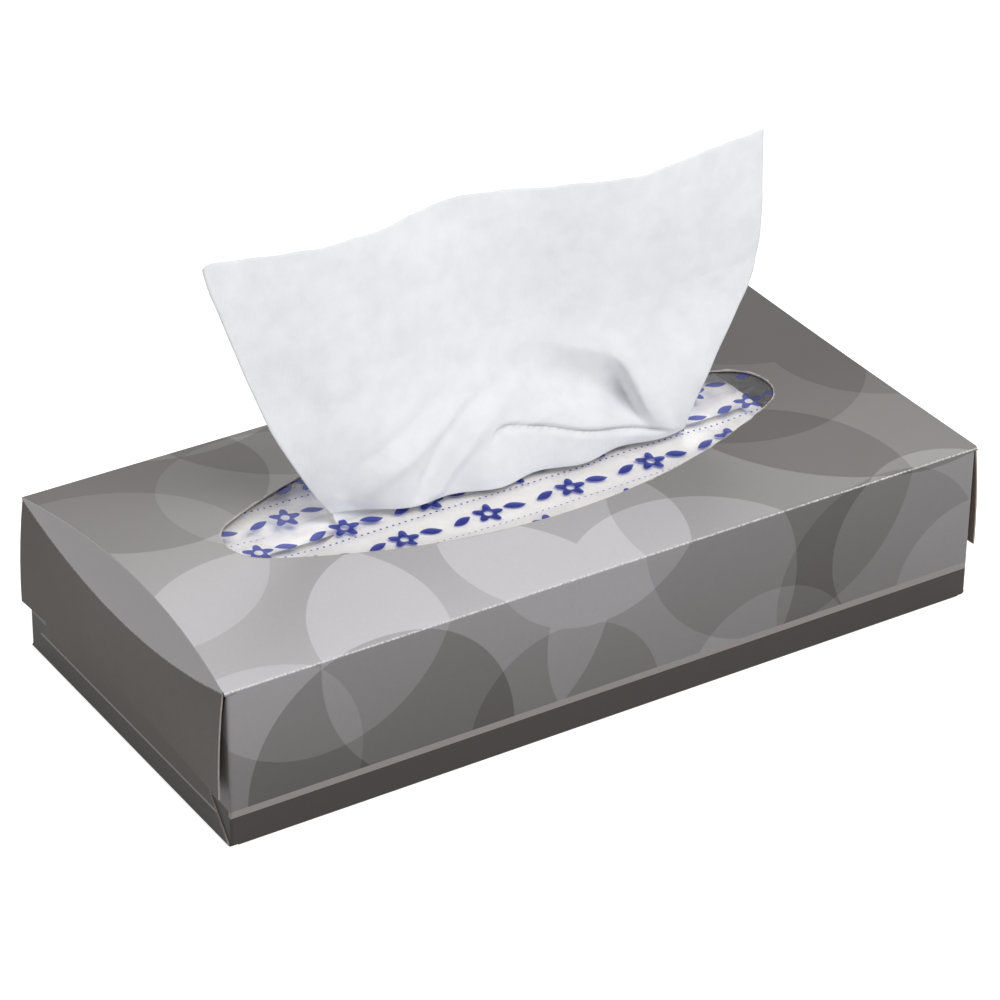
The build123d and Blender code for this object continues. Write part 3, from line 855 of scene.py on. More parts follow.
class TISSUEBOX_OT_film(bpy.types.Operator):
    """Stretches the clear film under the opening, with its slit, its sag and its wrinkles"""

    bl_idname = "tissue_box.film"
    bl_label = "Stretch the film"

    def execute(self, context):
        settings = context.scene.tissue_box_film
        form = Carton(context.scene.tissue_box_carton)
        half, rise = settings.length / MM / 2, settings.width / MM / 2
        slit, gape = settings.slit_length / MM / 2, settings.slit_gape / MM / 2
        points, faces, places = [], [], []
        for side in (-1, 1):
            start = len(points)
            for column in range(FILM_COLUMNS + 1):
                x = half * (2 * column / FILM_COLUMNS - 1)
                edge = gape * max(1 - (x / slit) ** 2, 0)
                for row in range(FILM_ROWS + 1):
                    y = edge + (rise - edge) * (row / FILM_ROWS) ** FILM_CROWDING
                    points.append((x, side * y, self.height(form, settings, x, side * y)))
                    places.append((x, side * y))
            for column in range(FILM_COLUMNS):
                for row in range(FILM_ROWS):
                    a = start + column * (FILM_ROWS + 1) + row
                    b = a + FILM_ROWS + 1
                    faces.append((a, b, b + 1, a + 1) if side > 0 else (a, a + 1, b + 1, b))
        piece = new_piece("clear_film", points, faces, [film_material(settings)])
        corners = mesh_array(piece.data.loops, "vertex_index", 1).astype(int)[:, 0]
        sheet = np.array(places, dtype=np.float32)[corners]
        piece.data.uv_layers.new(name="Sheet").data.foreach_set("uv", sheet.ravel())
        weld = piece.modifiers.new("weld", "WELD")
        weld.merge_threshold = 0.01 * MM
        baked(piece)
        finish_piece(piece, "clear_film", "film_window")
        return {"FINISHED"}

    def height(self, form, settings, x, y):
        """Height of the film at a place: glued under the panel, sagging and wrinkled in the opening."""
        inside = max(1.0 - (x / form.opening_half) ** 2 - (y / form.opening_rise) ** 2, 0.0)
        room = float(smooth_step(inside, TAUT_SHARE))
        spoke = math.atan2(y, abs(x) - settings.slit_length / MM / 2 - SPOKE_START)
        ripple = SPOKE_SHARE * math.sin(SPOKES * spoke + SPOKE_TURN * x)
        for share, along, across, level in LOOSE_WRINKLE_SHARES:
            ripple += share * noise.noise((x / along, y / across, level))
        return (float(form.top_height(y)) - settings.depth / MM
                + room * (ripple * settings.wrinkle / MM - settings.sag / MM))


def tissue_material(name, colour, glow_share):
    """Two-ply creped tissue: soft white pulp, matt and a little translucent, with cloudy and fine fibres."""
    material, tree = new_material(name)
    grain = add_node(tree, "ShaderNodeTexCoord").outputs["Object"]
    clouds = add_node(tree, NOISE, None, {
        "Vector": grain, "Scale": per_metre(TISSUE_CLOUD), "Detail": 6.0, "Roughness": 0.62})
    stretched = add_node(tree, "ShaderNodeMapping", None, {"Vector": grain, "Scale": (1.0, 1.0, 0.35)})
    fibres = add_node(tree, NOISE, None, {
        "Vector": stretched, "Scale": per_metre(TISSUE_FIBRE), "Detail": 3.0, "Distortion": 0.8})
    crepe = add_node(tree, "ShaderNodeTexWave", {"bands_direction": "X"}, {
        "Vector": grain, "Scale": per_metre(CREPE_RIDGE) * WAVE_LENGTH, "Distortion": 6.0, "Detail": 3.0,
        "Detail Scale": 1.4}).outputs["Fac"]
    shade = add_node(tree, RANGE, None, {
        "Value": clouds, "From Min": 0.3, "From Max": 0.7, "To Min": 0.94, "To Max": 1.0})
    shaded = add_node(tree, VECTOR_MATH, {"operation": "SCALE"}, (tuple(colour), shade))
    coarse = add_node(tree, BUMP, None, {"Height": clouds, "Strength": 0.35, "Distance": 0.6 * MM})
    middle = add_node(tree, BUMP, None, {
        "Height": crepe, "Strength": 0.10, "Distance": 0.1 * MM, "Normal": coarse})
    fine = add_node(tree, BUMP, None, {
        "Height": fibres, "Strength": 0.35, "Distance": 0.1 * MM, "Normal": middle})
    paper = add_node(tree, PRINCIPLED, None, {
        "Base Color": shaded, "Roughness": 0.95, "Specular IOR Level": 0.15, "Sheen Weight": 0.15,
        "Normal": fine})
    glow = add_node(tree, "ShaderNodeBsdfTranslucent", None, {"Color": shaded, "Normal": fine})
    surface = add_node(tree, MIX_SHADER, None, (glow_share, paper, glow))
    add_node(tree, "ShaderNodeOutputMaterial", None, {"Surface": surface})
    return material


def stack_tree(material):
    """Geometry nodes that pile one folded tissue over and over, each a little out of line with the last."""
    tree, given = geometry_tree("folded_tissues", {
        "Count": "Int", "Pitch": "Float", "Play": "Float", "Softness": "Float", "Height": "Float",
        "Half width": "Float", "Crown": "Float", "Middle": "Float", "Slump start": "Float",
        "Slump end": "Float", "Slump": "Float", "Seed": "Int"})
    rise = add_node(tree, "ShaderNodeCombineXYZ", None, {"Z": given["Pitch"]})
    pile = add_node(tree, "GeometryNodeMeshLine", {"mode": "OFFSET"}, {
        "Count": given["Count"], "Offset": rise})
    draw = add_node(tree, "FunctionNodeRandomValue", {"data_type": "FLOAT_VECTOR"}, {
        0: (-1.0, -1.0, 0.0), 1: (1.0, 1.0, 0.0), "Seed": given["Seed"]})
    shift = add_node(tree, VECTOR_MATH, {"operation": "SCALE"}, (draw, given["Play"]))
    moved = add_node(tree, "GeometryNodeSetPosition", None, {"Geometry": pile, "Offset": shift})
    leaves = add_node(tree, "GeometryNodeInstanceOnPoints", None, {
        "Points": moved, "Instance": given["Geometry"]})
    real = add_node(tree, "GeometryNodeRealizeInstances", None, (leaves,))
    place = add_node(tree, "GeometryNodeInputPosition")
    cloud = add_node(tree, NOISE, None, {"Vector": place, "Scale": per_metre(PILE_SWELL), "Detail": 1.0})
    lift = add_node(tree, RANGE, None, {
        "Value": cloud, "From Min": 0.3, "From Max": 0.7, "To Min": -1.0, "To Max": 0.0})
    wave = add_node(tree, MATH, {"operation": "MULTIPLY"}, (lift, given["Softness"]))
    axes = add_node(tree, SPLIT, None, (place,)).outputs
    across = add_node(tree, MATH, {"operation": "DIVIDE"}, (axes["Y"], given["Half width"]))
    squared = add_node(tree, MATH, {"operation": "MULTIPLY"}, (across, across))
    open_share = add_node(tree, MATH, {"operation": "SUBTRACT"}, (1.0, squared))
    height_share = add_node(tree, MATH, {"operation": "DIVIDE"}, (axes["Z"], given["Height"]))
    swell = add_node(tree, MATH, {"operation": "MULTIPLY"}, (open_share, height_share))
    total = add_node(tree, MATH, {"operation": "MULTIPLY_ADD"}, (swell, given["Crown"], wave))
    from_middle = add_node(tree, MATH, {"operation": "SUBTRACT"}, (axes["X"], given["Middle"]))
    length_out = add_node(tree, MATH, {"operation": "ABSOLUTE"}, (from_middle,))
    near_end = add_node(tree, RANGE, {"interpolation_type": "SMOOTHSTEP"}, {
        "Value": length_out, "From Min": given["Slump start"], "From Max": given["Slump end"]})
    high_end = add_node(tree, MATH, {"operation": "MULTIPLY"}, (near_end, height_share))
    drop = add_node(tree, MATH, {"operation": "MULTIPLY"}, (high_end, given["Slump"]))
    height = add_node(tree, MATH, {"operation": "SUBTRACT"}, (total, drop))
    softly = add_node(tree, "ShaderNodeCombineXYZ", None, {"Z": height})
    soft = add_node(tree, "GeometryNodeSetPosition", None, {"Geometry": real, "Offset": softly})
    made = add_node(tree, "GeometryNodeSetMaterial", None, {"Geometry": soft, "Material": material})
    add_node(tree, "NodeGroupOutput", None, (made,))
    return tree


# The pile, in millimetres: how far a leaf may lie out of line, how much its surface waves, how far from
# its end its corners are tucked, and how far and over what length it slumps at its ends. Its edges look
# sharp where they turn by more than an angle in degrees.
LEAF_PLAY = 0.5
LEAF_SOFTNESS = 0.35
TUCKED_CORNER = 7.0
SLUMP = 2.2
SLUMP_LENGTH = 30.0
SHARP_ANGLE = 50.0
LEAF_THICKNESS_SHARE = 0.97
LEAF_COLUMNS = 28
FOLD_TURNS = 5
FLAT_SHARES = (0.8, 0.5, 0.2, -0.2, -0.5, -0.8)


class TISSUEBOX_OT_stack(bpy.types.Operator):
    """Piles the folded tissues in the carton, with their rounded folds along its long walls"""

    bl_idname = "tissue_box.stack"
    bl_label = "Pile the folded tissues"

    def execute(self, context):
        settings = context.scene.tissue_box_tissue
        low, high = (Vector(corner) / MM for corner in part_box("tissue_stack"))
        count = settings.folded_count
        crown = settings.stack_crown / MM
        side_height = high.z - low.z - crown
        pitch = side_height / count
        half_width = (high.y - low.y) / 2 - LEAF_PLAY
        half_length = (high.x - low.x) / 2 - LEAF_PLAY
        middle = (low.x + high.x) / 2
        profile = self.fold_profile(half_width, pitch * LEAF_THICKNESS_SHARE)
        points, faces = [], []
        for column in range(LEAF_COLUMNS + 1):
            share = -math.cos(math.pi * column / LEAF_COLUMNS)
            x = middle + share * half_length
            tuck = max(abs(share) * half_length - half_length + TUCKED_CORNER, 0) / TUCKED_CORNER
            shrink = 1 - TUCKED_CORNER / half_width * (1 - math.sqrt(max(1 - tuck ** 2, 0)))
            points += [(x, y * shrink, low.z + LEAF_SOFTNESS + z) for y, z in profile]
        turn = len(profile)
        for column in range(LEAF_COLUMNS):
            for number in range(turn):
                a = column * turn + number
                b = column * turn + (number + 1) % turn
                faces.append((a, b, b + turn, a + turn))
        faces.append(tuple(range(turn - 1, -1, -1)))
        faces.append(tuple(range(LEAF_COLUMNS * turn, (LEAF_COLUMNS + 1) * turn)))
        material = tissue_material("folded_creped_tissue", settings.folded_colour, glow_share=0.0)
        piece = new_piece("folded_tissues", points, faces, [material])
        lengths = {"Pitch": pitch - LEAF_SOFTNESS / count, "Play": LEAF_PLAY, "Softness": LEAF_SOFTNESS,
                   "Height": side_height, "Half width": half_width, "Crown": crown, "Middle": middle,
                   "Slump start": half_length - SLUMP_LENGTH, "Slump end": half_length, "Slump": SLUMP}
        values = {name: length * MM for name, length in lengths.items()}
        add_geometry_modifier(piece, stack_tree(material), {"Count": count, "Seed": 11, **values})
        baked(piece)
        piece.data.set_sharp_from_angle(angle=math.radians(SHARP_ANGLE))
        if len(piece.data.polygons) < count * LEAF_COLUMNS:
            raise RuntimeError("the pile of folded tissues is not complete")
        finish_piece(piece, "tissue_paper", "tissue_stack")
        return {"FINISHED"}

    def fold_profile(self, half_width, thickness):
        """Section of one folded tissue: flat, with a rounded fold on each long side."""
        radius = thickness / 2
        bulge = [(half_width - radius + radius * math.sin(a), radius - radius * math.cos(a))
                 for a in np.linspace(0, math.pi, FOLD_TURNS)]
        flats = [half_width * share for share in FLAT_SHARES]
        upper = [(y, thickness) for y in flats]
        return bulge + upper + [(-y, thickness - z) for y, z in bulge] + [(y, 0.0) for y in reversed(flats)]


class Popup:
    """Forms of the drawn-up tissue, as the part has them, in millimetres."""

    top = 130.0
    film_top = 50.6
    clearance = 0.5
    slit = 76.0

    # Where the sheet is gathered in the slit, and how its gathers fade up the sheet
    gather_left = -54.0
    gather_right = 50.0
    gather_height = 1.5
    gather_count = 4
    fade = 1.6

    # How far the sheet blouses over the film in front, up to what height, and how it starts from the left
    reach = 11.5
    blouse = 40.0
    onset = 5.0
    sink = 0.8
    settling = 8.0

    # Up to where the sheet keeps to the film's form, and over what height its own folds set in
    film_reach = 0.6
    film_fade = 3.0

    # The upper edge: height of its waves seen from above, and how ragged and how rounded its corner is
    wave = 8.2
    ragged_share = 0.8
    ragged = 0.45
    ragged_size = 7.0
    ragged_level = 1.3
    corner_drop = 1.8
    corner_length = 1.3

    # The tail on the pile, in three layers, and the bend from it up through the slit
    bend = 2.4
    tail_half = 86.0
    tail_shift = -12.0
    tail_back = -5.5
    tail_front = -41.0
    tail_lap = 1.5
    tail_middle = -22.0
    tail_puff = 0.6
    tail_lift = 0.85
    layer_drop = 0.3
    layer_puff = 0.2
    crumple = 0.3
    crumple_size = 14.0
    crumple_level = 2.0
    least_crumple = -0.15
    fan_start = 24.0

    # The pile under the tail
    stack_side = 45.35
    stack_crown = 2.2
    stack_half = 52.4


class Hem:
    """Sizes of the fold over the tissue's hem and of the hollow above it, in millimetres."""

    hollow_depth = 8.2
    hollow_start = 0.5
    hollow_rise = 12.5
    hollow_fall = 11.0
    hollow_from_fin = 5.0
    hollow_length = 17.0
    hollow_onset = 20.0
    fin_width = 3.5
    tuck_depth = 0.9
    tuck_height = 5.0
    groove_depth = 1.5
    groove_place = 0.8
    groove_width = 0.75
    fold_onset = 5.0
    fold_past_fin = 2.0
    fold_end = 4.0
    ridge_height = 1.0
    ridge_place = 2.2
    ridge_width = 2.8
    ridge_foot = 50.0
    ridge_top = 86.0
    ridge_onset = 6.0
    ridge_fade = 16.0


# Steps of the tail's layers, of its bend and of the curves, and points across the sheet
TAIL_STEPS = 10
TAIL_LAYERS = 3
BEND_STEPS = 9
BLOUSE_STEPS = 14
UPPER_STEPS = 46
EDGE_STEPS = 8
WAVE_STEPS = 24
ACROSS_STEPS = 236

# The fan's side edges: height of each point, then its place along the carton.
LEFT_EDGE = ((51.1, -54.5), (58.0, -59.3), (67.0, -64.2), (78.0, -69.8), (90.0, -74.2), (110.0, -81.0),
             (122.0, -84.6), (130.5, -86.2))
RIGHT_EDGE = ((51.1, 50.0), (55.0, 51.7), (62.0, 57.0), (72.0, 66.5), (78.0, 72.4), (84.0, 77.4),
              (91.0, 80.6), (104.0, 82.0), (130.5, 81.2))

# The upper edge's waves as seen from above, in even steps from the left, as shares of their height, and
# the way of the blouse from the slit: how far it stands forward and how high, as shares of both
TOP_WAVE_SHARES = (1.2, 0.33, 0.27, 1.0, 0.29, -0.68, -0.4, 0.0)
BLOUSE_PATH_SHARES = ((0.0, 0.0), (0.5, 0.004), (0.88, 0.012), (1.0, 0.045), (0.98, 0.16),
                      (0.78, 0.36), (0.4, 0.6), (0.12, 0.8), (0.0, 1.0))

# Folds seen on the front of the drawn-up tissue: X and Z of each line's points in millimetres.
# A drape has a valley on its left and a ridge on its right; height and width follow its points.
DRAPES = (
    (((-51.0, 55.0), (-48.0, 59.0), (-44.3, 64.0), (-38.3, 67.2), (-29.9, 70.5), (-20.0, 75.0), (-8.0, 82.0)),
     2.3, 3.4),
    (((-33.0, 50.5), (-31.0, 53.0), (-28.1, 57.1), (-22.1, 63.6), (-15.2, 69.2), (-6.9, 73.6), (4.0, 79.0)),
     2.5, 3.2),
    (((-62.0, 60.0), (-60.0, 72.0), (-55.0, 88.0), (-46.0, 104.0)), 1.0, 5.5),
    (((-1.0, 64.6), (3.0, 65.8), (9.0, 67.6), (16.0, 69.4), (21.0, 71.0)), 0.8, 1.8),
)
FIN_CREASE = ((27.0, 86.0), (29.9, 79.3), (33.1, 73.9), (36.2, 67.2), (38.2, 61.2), (39.7, 58.7),
              (41.4, 55.8), (44.7, 53.6), (52.0, 52.4))
HEM_CREASE = ((-11.5, 61.5), (-9.2, 63.8), (-7.9, 64.8), (-5.8, 65.4), (-2.9, 65.1), (5.3, 62.7),
              (13.1, 60.6), (20.5, 58.6), (29.2, 56.2), (38.9, 54.4), (52.0, 53.0))

# How steep a drape is for its height, and how softly it fades out at its ends
DRAPE_STEEPNESS = 1.6
DRAPE_FADE = 0.7

# The hollow goes in along this line, which is near the photograph's line of sight, so that it shows as
# shade and doesn't shift what is seen of its edges
HOLLOW_RUN = (0.5, 1.0, -0.65)

# Cloudy unevenness of the free sheet: height and size in millimetres, and the noise's own height
SHEET_CLOUDS = ((0.9, 26.0, 5.0), (0.28, 8.0, 9.0))


def smooth_curve(points, steps):
    """Points along a soft curve through the given ones."""
    points = np.array(points, dtype=float)
    padded = np.vstack([2 * points[0] - points[1], points, 2 * points[-1] - points[-2]])
    found = []
    for a, b, c, d in zip(padded, padded[1:], padded[2:], padded[3:]):
        for t in np.linspace(0, 1, steps, endpoint=False):
            found.append(0.5 * (2 * b + (c - a) * t + (2 * a - 5 * b + 4 * c - d) * t ** 2
                                + (3 * b - a - 3 * c + d) * t ** 3))
    return np.array(found + [points[-1]])


def smooth_step(value, width):
    """Soft step from 0 to 1 over a width."""
    t = np.clip(value / width, 0, 1)
    return t * t * (3 - 2 * t)


def bell(value, width):
    """Soft bump of height 1 round 0."""
    return np.exp(-(value / width) ** 2)


def line_distance(x, z, line):
    """Distance from places to a line of points, and how far along the line the nearest place is."""
    best, along = np.full(x.shape, np.inf), np.zeros(x.shape)
    count = len(line) - 1
    for number, (a, b) in enumerate(zip(line, line[1:])):
        run = np.array(b) - np.array(a)
        t = np.clip(((x - a[0]) * run[0] + (z - a[1]) * run[1]) / (run @ run), 0, 1)
        d = np.hypot(x - a[0] - t * run[0], z - a[1] - t * run[1])
        near = d < best
        best, along = np.where(near, d, best), np.where(near, (number + t) / count, along)
    return best, along


def line_side(x, z, line):
    """Signed distance from places to a line that runs up the sheet, less than 0 on its left."""
    line = np.array(line)
    order = line[:, 1].argsort()
    across = x - np.interp(z, line[order, 1], line[order, 0])
    distance, along = line_distance(x, z, line)
    return np.sign(across) * distance, along


def tissue_folds(x, z):
    """How far the tissue stands forward at a place in its drapes, and how deep it folds in over its hem."""
    forward = np.zeros(x.shape)
    for line, height, width in DRAPES:
        d, along = line_side(x, z, line)
        fade = np.sin(math.pi * along) ** DRAPE_FADE
        forward += height * fade * (DRAPE_STEEPNESS * d / width) * bell(d, width)
    hem = np.array(HEM_CREASE)
    fin = np.array(sorted(FIN_CREASE, key=lambda point: point[1]))
    above = z - np.interp(x, hem[:, 0], hem[:, 1])
    left = np.interp(z, fin[:, 1], fin[:, 0]) - x
    into_hem = x - hem[0, 0]
    inside = smooth_step(left, Hem.fin_width)
    hollow = smooth_step(above - Hem.hollow_start, Hem.hollow_rise) * (
        1 - smooth_step(above - Hem.hollow_rise, Hem.hollow_fall))
    hollow = hollow * np.exp(-np.maximum(left - Hem.hollow_from_fin, 0) / Hem.hollow_length)
    hollow = hollow * smooth_step(into_hem, Hem.hollow_onset)
    at_hem = smooth_step(into_hem, Hem.fold_onset) * smooth_step(left + Hem.fold_past_fin, Hem.fold_end)
    tuck = smooth_step(above, 1.0) * np.exp(-np.maximum(above, 0) / Hem.tuck_height) * at_hem
    groove = bell(above - Hem.groove_place, Hem.groove_width) * at_hem
    deep = (Hem.hollow_depth * hollow + Hem.tuck_depth * tuck) * inside
    ridge = bell(left + Hem.ridge_place, Hem.ridge_width) * smooth_step(z - Hem.ridge_foot, Hem.ridge_onset)
    ridge = ridge * smooth_step(Hem.ridge_top - z, Hem.ridge_fade)
    return forward + Hem.ridge_height * ridge - Hem.groove_depth * groove, deep


def soft_noise(x, z, size, level):
    """Cloudy unevenness over the sheet, from about -1 to 1."""
    flat = [noise.noise((a / size, b / size, level)) for a, b in zip(x.ravel(), z.ravel())]
    return np.array(flat).reshape(x.shape)


def tail_rows(slit_x, spread_x):
    """Rows of the tail: three layers that lie to and fro on the pile, from the hidden edge to the slit."""
    p = Popup
    rows = []
    layers = ((p.tail_front + p.tail_lap, p.tail_back, 2), (p.tail_back, p.tail_front, 1),
              (p.tail_front, -p.bend, 0))
    for start, end, layer in layers:
        for share in np.linspace(0, 1, TAIL_STEPS, endpoint=layer == 0):
            y = start + (end - start) * share
            fan = smooth_step(np.array(-p.bend - y), p.fan_start) if layer == 0 else 1.0
            x = slit_x + (spread_x - slit_x) * fan
            arch = max(1 - ((y - p.tail_middle) / p.tail_middle) ** 2, 0)
            puff = arch * (p.tail_puff - p.layer_puff * layer)
            level = p.crumple_level + layer
            crumple = p.crumple * soft_noise(x, np.full(x.shape, y), p.crumple_size, level) * arch
            pile = p.stack_side + p.stack_crown * (1 - (y / p.stack_half) ** 2)
            z = pile + p.tail_lift - p.layer_drop * layer + puff + np.maximum(crumple, p.least_crumple)
            rows.append(np.column_stack([x, np.full(x.shape, y), z]))
    return rows


def bend_rows(slit_x, slit_y, tail_z):
    """Rows of the bend from the tail up into the slit."""
    rows = []
    for share in np.linspace(0, 1, BEND_STEPS)[1:]:
        turn = math.pi / 2 * share
        z = tail_z + Popup.bend * (1 - math.cos(turn))
        rows.append(np.column_stack([slit_x, slit_y * share - Popup.bend * (1 - math.sin(turn)), z]))
    return rows


def fan_rows(u, slit_y):
    """Rows of the fan, from the slit over the blousing front to the upper edge."""
    p = Popup
    rows = []
    width = RIGHT_EDGE[-1][1] - LEFT_EDGE[-1][1]
    count = len(TOP_WAVE_SHARES) - 1
    waves = [(width * n / count, p.wave * s) for n, s in enumerate(TOP_WAVE_SHARES)]
    top = smooth_curve(waves, WAVE_STEPS)
    run = np.concatenate([[0], np.cumsum(np.hypot(*np.diff(top, axis=0).T))])
    far_share = np.interp(u * run[-1], run, top[:, 0]) / width
    far_y = np.interp(u * run[-1], run, top[:, 1])
    start_z = p.film_top + p.clearance
    path = smooth_curve([(reach * p.reach, start_z + height * p.blouse)
                         for reach, height in BLOUSE_PATH_SHARES], BLOUSE_STEPS)
    path = np.vstack([path, [(0.0, z) for z in np.linspace(path[-1, 1], p.top, UPPER_STEPS)[1:]]])
    left_edge, right_edge = (smooth_curve(edge, EDGE_STEPS) for edge in (LEFT_EDGE, RIGHT_EDGE))
    spread = 1 - (1 - u) ** p.onset
    run_x, run_y, run_z = HOLLOW_RUN
    for reach, z in path:
        share = (z - p.film_top) / (p.top - p.film_top)
        left, right = (np.interp(z, edge[:, 0], edge[:, 1]) for edge in (left_edge, right_edge))
        x = left + (right - left) * (u + (far_share - u) * share)
        y = slit_y * (1 - share) ** p.fade + far_y * share - reach * spread
        height = np.full(x.shape, z)
        clear = smooth_step(np.array(z - start_z - p.film_reach), p.film_fade)
        forward, deep = tissue_folds(x, height)
        clouds = sum(rise * soft_noise(x, height, size, level) for rise, size, level in SHEET_CLOUDS)
        resting = reach / p.reach * spread * (1 - smooth_step(np.array(z - start_z), p.settling))
        x = x + run_x * clear * deep
        y = y + clear * clouds
        y = y + clear * (run_y * deep - forward)
        height = height + run_z * clear * deep - p.sink * resting
        ragged = smooth_step(np.array(share - p.ragged_share), 1 - p.ragged_share)
        height = height + ragged * p.ragged * soft_noise(x, height, p.ragged_size, p.ragged_level)
        height = height - ragged * p.corner_drop * np.exp(-(x - x[0]) / p.corner_length)
        rows.append(np.column_stack([x, y, height]))
    return rows


def tissue_grid():
    """Rows of points of the drawn-up tissue, from its hidden edge over its tail to its upper edge."""
    p = Popup
    u = np.linspace(0, 1, ACROSS_STEPS)
    slit_x = p.gather_left + u * (p.gather_right - p.gather_left)
    room = 1 - (slit_x / p.slit) ** 2
    slit_y = p.gather_height * room * np.sin(2 * math.pi * p.gather_count * u)
    spread_x = p.tail_shift + p.tail_half * (2 * u - 1)
    tail = tail_rows(slit_x, spread_x)
    return tail + bend_rows(slit_x, slit_y, tail[-1][:, 2]) + fan_rows(u, slit_y)


class TISSUEBOX_OT_drawn_tissue(bpy.types.Operator):
    """Draws one tissue up through the slit: a fan with soft folds, blousing over the front of the film"""

    bl_idname = "tissue_box.drawn_tissue"
    bl_label = "Draw up the tissue"

    def execute(self, context):
        settings = context.scene.tissue_box_tissue
        rows = tissue_grid()
        width = len(rows[0])
        points = [tuple(point) for row in rows for point in row]
        faces = []
        for row in range(len(rows) - 1):
            for column in range(width - 1):
                a = row * width + column
                faces.append((a, a + 1, a + width + 1, a + width))
        papers = [tissue_material("creped_tissue", settings.colour, glow_share=0.36),
                  bpy.data.materials["folded_creped_tissue"]]
        piece = new_piece("drawn_tissue", points, faces, papers)
        tail_faces = TAIL_LAYERS * TAIL_STEPS * (width - 1)
        in_tail = (np.arange(len(faces)) < tail_faces).astype(np.int32)
        piece.data.polygons.foreach_set("material_index", in_tail)
        shell = piece.modifiers.new("plies", "SOLIDIFY")
        shell.thickness = settings.thickness
        shell.offset = 0
        baked(piece)
        finish_piece(piece, "tissue_paper", "popup_tissue")
        return {"FINISHED"}


# The photograph's camera, in degrees and millimetres, and the studio's lamps and floor, in metres
CAMERA_ANGLES = (-32.475, 30.911, 0.682)
CAMERA_PLACE = (-537.838, -842.467, 636.949)
CAMERA_LENS = 154.2
CAMERA_SENSOR = 36.0
CAMERA_RANGE = (0.05, 20.0)
KEY_PLACE = (0.15, -0.95, 1.35)
KEY_SIZE = 1.0
BACK_PLACE = (0.587, 0.883, 1.11)
BACK_SIZE = 0.7
LAMP_TARGET = (0, 0, 0.05)
FLOOR_REACH = 4.0

# How bright the floor glows where the camera sees it, and where a gloss mirrors it
SEEN_FLOOR = 0.78
MIRRORED_FLOOR = 0.42


def place_camera():
    """The camera at the photograph's place: 31 degrees above and 32 degrees to the left of the front."""
    azimuth, elevation, roll = (math.radians(a) for a in CAMERA_ANGLES)
    back = Vector((math.sin(azimuth) * math.cos(elevation), -math.cos(azimuth) * math.cos(elevation),
                   math.sin(elevation)))
    right = Vector((0, 0, 1)).cross(back).normalized()
    up = back.cross(right)
    across = math.cos(roll) * right + math.sin(roll) * up
    upward = -math.sin(roll) * right + math.cos(roll) * up
    data = bpy.data.cameras.new("camera")
    data.sensor_width = CAMERA_SENSOR
    data.lens = CAMERA_LENS
    data.clip_start, data.clip_end = CAMERA_RANGE
    camera = bpy.data.objects.new("camera", data)
    bpy.context.scene.collection.objects.link(camera)
    turn = Matrix((across, upward, back)).transposed().to_4x4()
    camera.matrix_world = Matrix.Translation(Vector(CAMERA_PLACE) * MM) @ turn
    bpy.context.scene.camera = camera


def place_lamp(name, place, size, power):
    """A square soft lamp that faces the object."""
    data = bpy.data.lights.new(name, "AREA")
    data.shape = "SQUARE"
    data.size = size
    data.energy = power
    lamp = bpy.data.objects.new(name, data)
    lamp.location = place
    lamp.rotation_mode = "QUATERNION"
    lamp.rotation_quaternion = (Vector(LAMP_TARGET) - Vector(place)).to_track_quat("-Z", "Y")
    bpy.context.scene.collection.objects.link(lamp)


def studio_world(level):
    """Even surroundings: white where the camera sees them or a gloss mirrors them, softer as light."""
    world = bpy.data.worlds.new("studio")
    world.use_nodes = True
    tree = world.node_tree
    tree.nodes.clear()
    path = add_node(tree, "ShaderNodeLightPath").outputs
    seen = add_node(tree, MATH, {"operation": "MAXIMUM"}, (path["Is Camera Ray"], path["Is Glossy Ray"]))
    shown = add_node(tree, MATH, {"operation": "MAXIMUM"}, (seen, path["Is Transmission Ray"]))
    strength = add_node(tree, RANGE, None, {"Value": shown, "To Min": level, "To Max": 1.0})
    light = add_node(tree, "ShaderNodeBackground", None, {"Color": (1, 1, 1, 1), "Strength": strength})
    add_node(tree, "ShaderNodeOutputWorld", None, {"Surface": light})
    bpy.context.scene.world = world


def floor_material():
    """Matt white sweep of background paper, lit so high that only the darkest of the shadow shows."""
    material, tree = new_material("background_paper")
    path = add_node(tree, "ShaderNodeLightPath").outputs
    mirrored = add_node(tree, MATH, {"operation": "MULTIPLY"}, (path["Is Glossy Ray"], MIRRORED_FLOOR))
    glow = add_node(tree, MATH, {"operation": "MULTIPLY_ADD"}, (path["Is Camera Ray"], SEEN_FLOOR, mirrored))
    surface = add_node(tree, PRINCIPLED, None, {
        "Base Color": opaque(linear("#DADADA")), "Roughness": 0.9, "Specular IOR Level": 0.1,
        "Emission Color": (1, 1, 1, 1), "Emission Strength": glow})
    add_node(tree, "ShaderNodeOutputMaterial", None, {"Surface": surface})
    return material


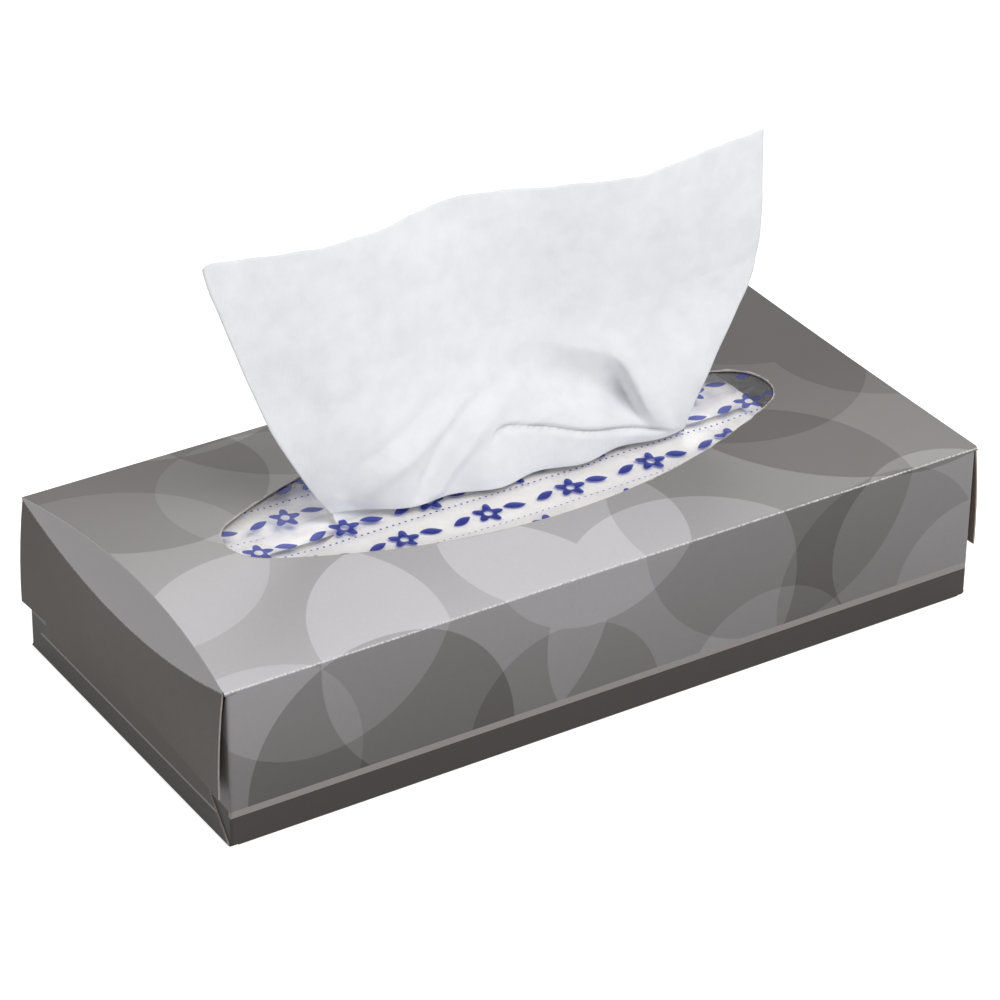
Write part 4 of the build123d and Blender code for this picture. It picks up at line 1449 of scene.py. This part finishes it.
class TISSUEBOX_OT_stage(bpy.types.Operator):
    """Sets up the floor, the soft studio light and the camera"""

    bl_idname = "tissue_box.stage"
    bl_label = "Set up the studio"

    def execute(self, context):
        settings = context.scene.tissue_box_studio
        reach = FLOOR_REACH / MM
        corners = [(-reach, -reach, 0), (reach, -reach, 0), (reach, reach, 0), (-reach, reach, 0)]
        floor = new_piece("floor", corners, [(0, 1, 2, 3)], [floor_material()])
        studio_world(settings.world_level)
        place_lamp("key", KEY_PLACE, KEY_SIZE, settings.key_power)
        place_lamp("back", BACK_PLACE, BACK_SIZE, settings.back_power)
        place_camera()
        context.scene.view_settings.view_transform = "Standard"
        return {"FINISHED"}


class TISSUEBOX_PT_panel(bpy.types.Panel):
    """Lists the steps of dressing the tissue box"""

    bl_idname = "TISSUEBOX_PT_panel"
    bl_label = "Tissue box"
    bl_space_type = "VIEW_3D"
    bl_region_type = "UI"
    bl_category = "Tissue box"

    def draw(self, context):
        for operator in OPERATORS:
            self.layout.operator(operator.bl_idname)


SETTINGS = {
    "tissue_box_carton": CartonSettings,
    "tissue_box_film": FilmSettings,
    "tissue_box_tissue": TissueSettings,
    "tissue_box_studio": StudioSettings,
}
OPERATORS = (
    TISSUEBOX_OT_carton,
    TISSUEBOX_OT_rim,
    TISSUEBOX_OT_film,
    TISSUEBOX_OT_stack,
    TISSUEBOX_OT_drawn_tissue,
    TISSUEBOX_OT_stage,
)


def register():
    for made in (*SETTINGS.values(), *OPERATORS, TISSUEBOX_PT_panel):
        bpy.utils.register_class(made)
    for name, group in SETTINGS.items():
        setattr(bpy.types.Scene, name, bpy.props.PointerProperty(type=group))


def unregister():
    for name in SETTINGS:
        delattr(bpy.types.Scene, name)
    for made in (TISSUEBOX_PT_panel, *reversed(OPERATORS), *reversed(SETTINGS.values())):
        bpy.utils.unregister_class(made)


def main():
    register()
    bpy.ops.tissue_box.carton()
    bpy.ops.tissue_box.rim()
    bpy.ops.tissue_box.film()
    bpy.ops.tissue_box.stack()
    bpy.ops.tissue_box.drawn_tissue()
    bpy.ops.tissue_box.stage()


if __name__ == "__main__":
    main()
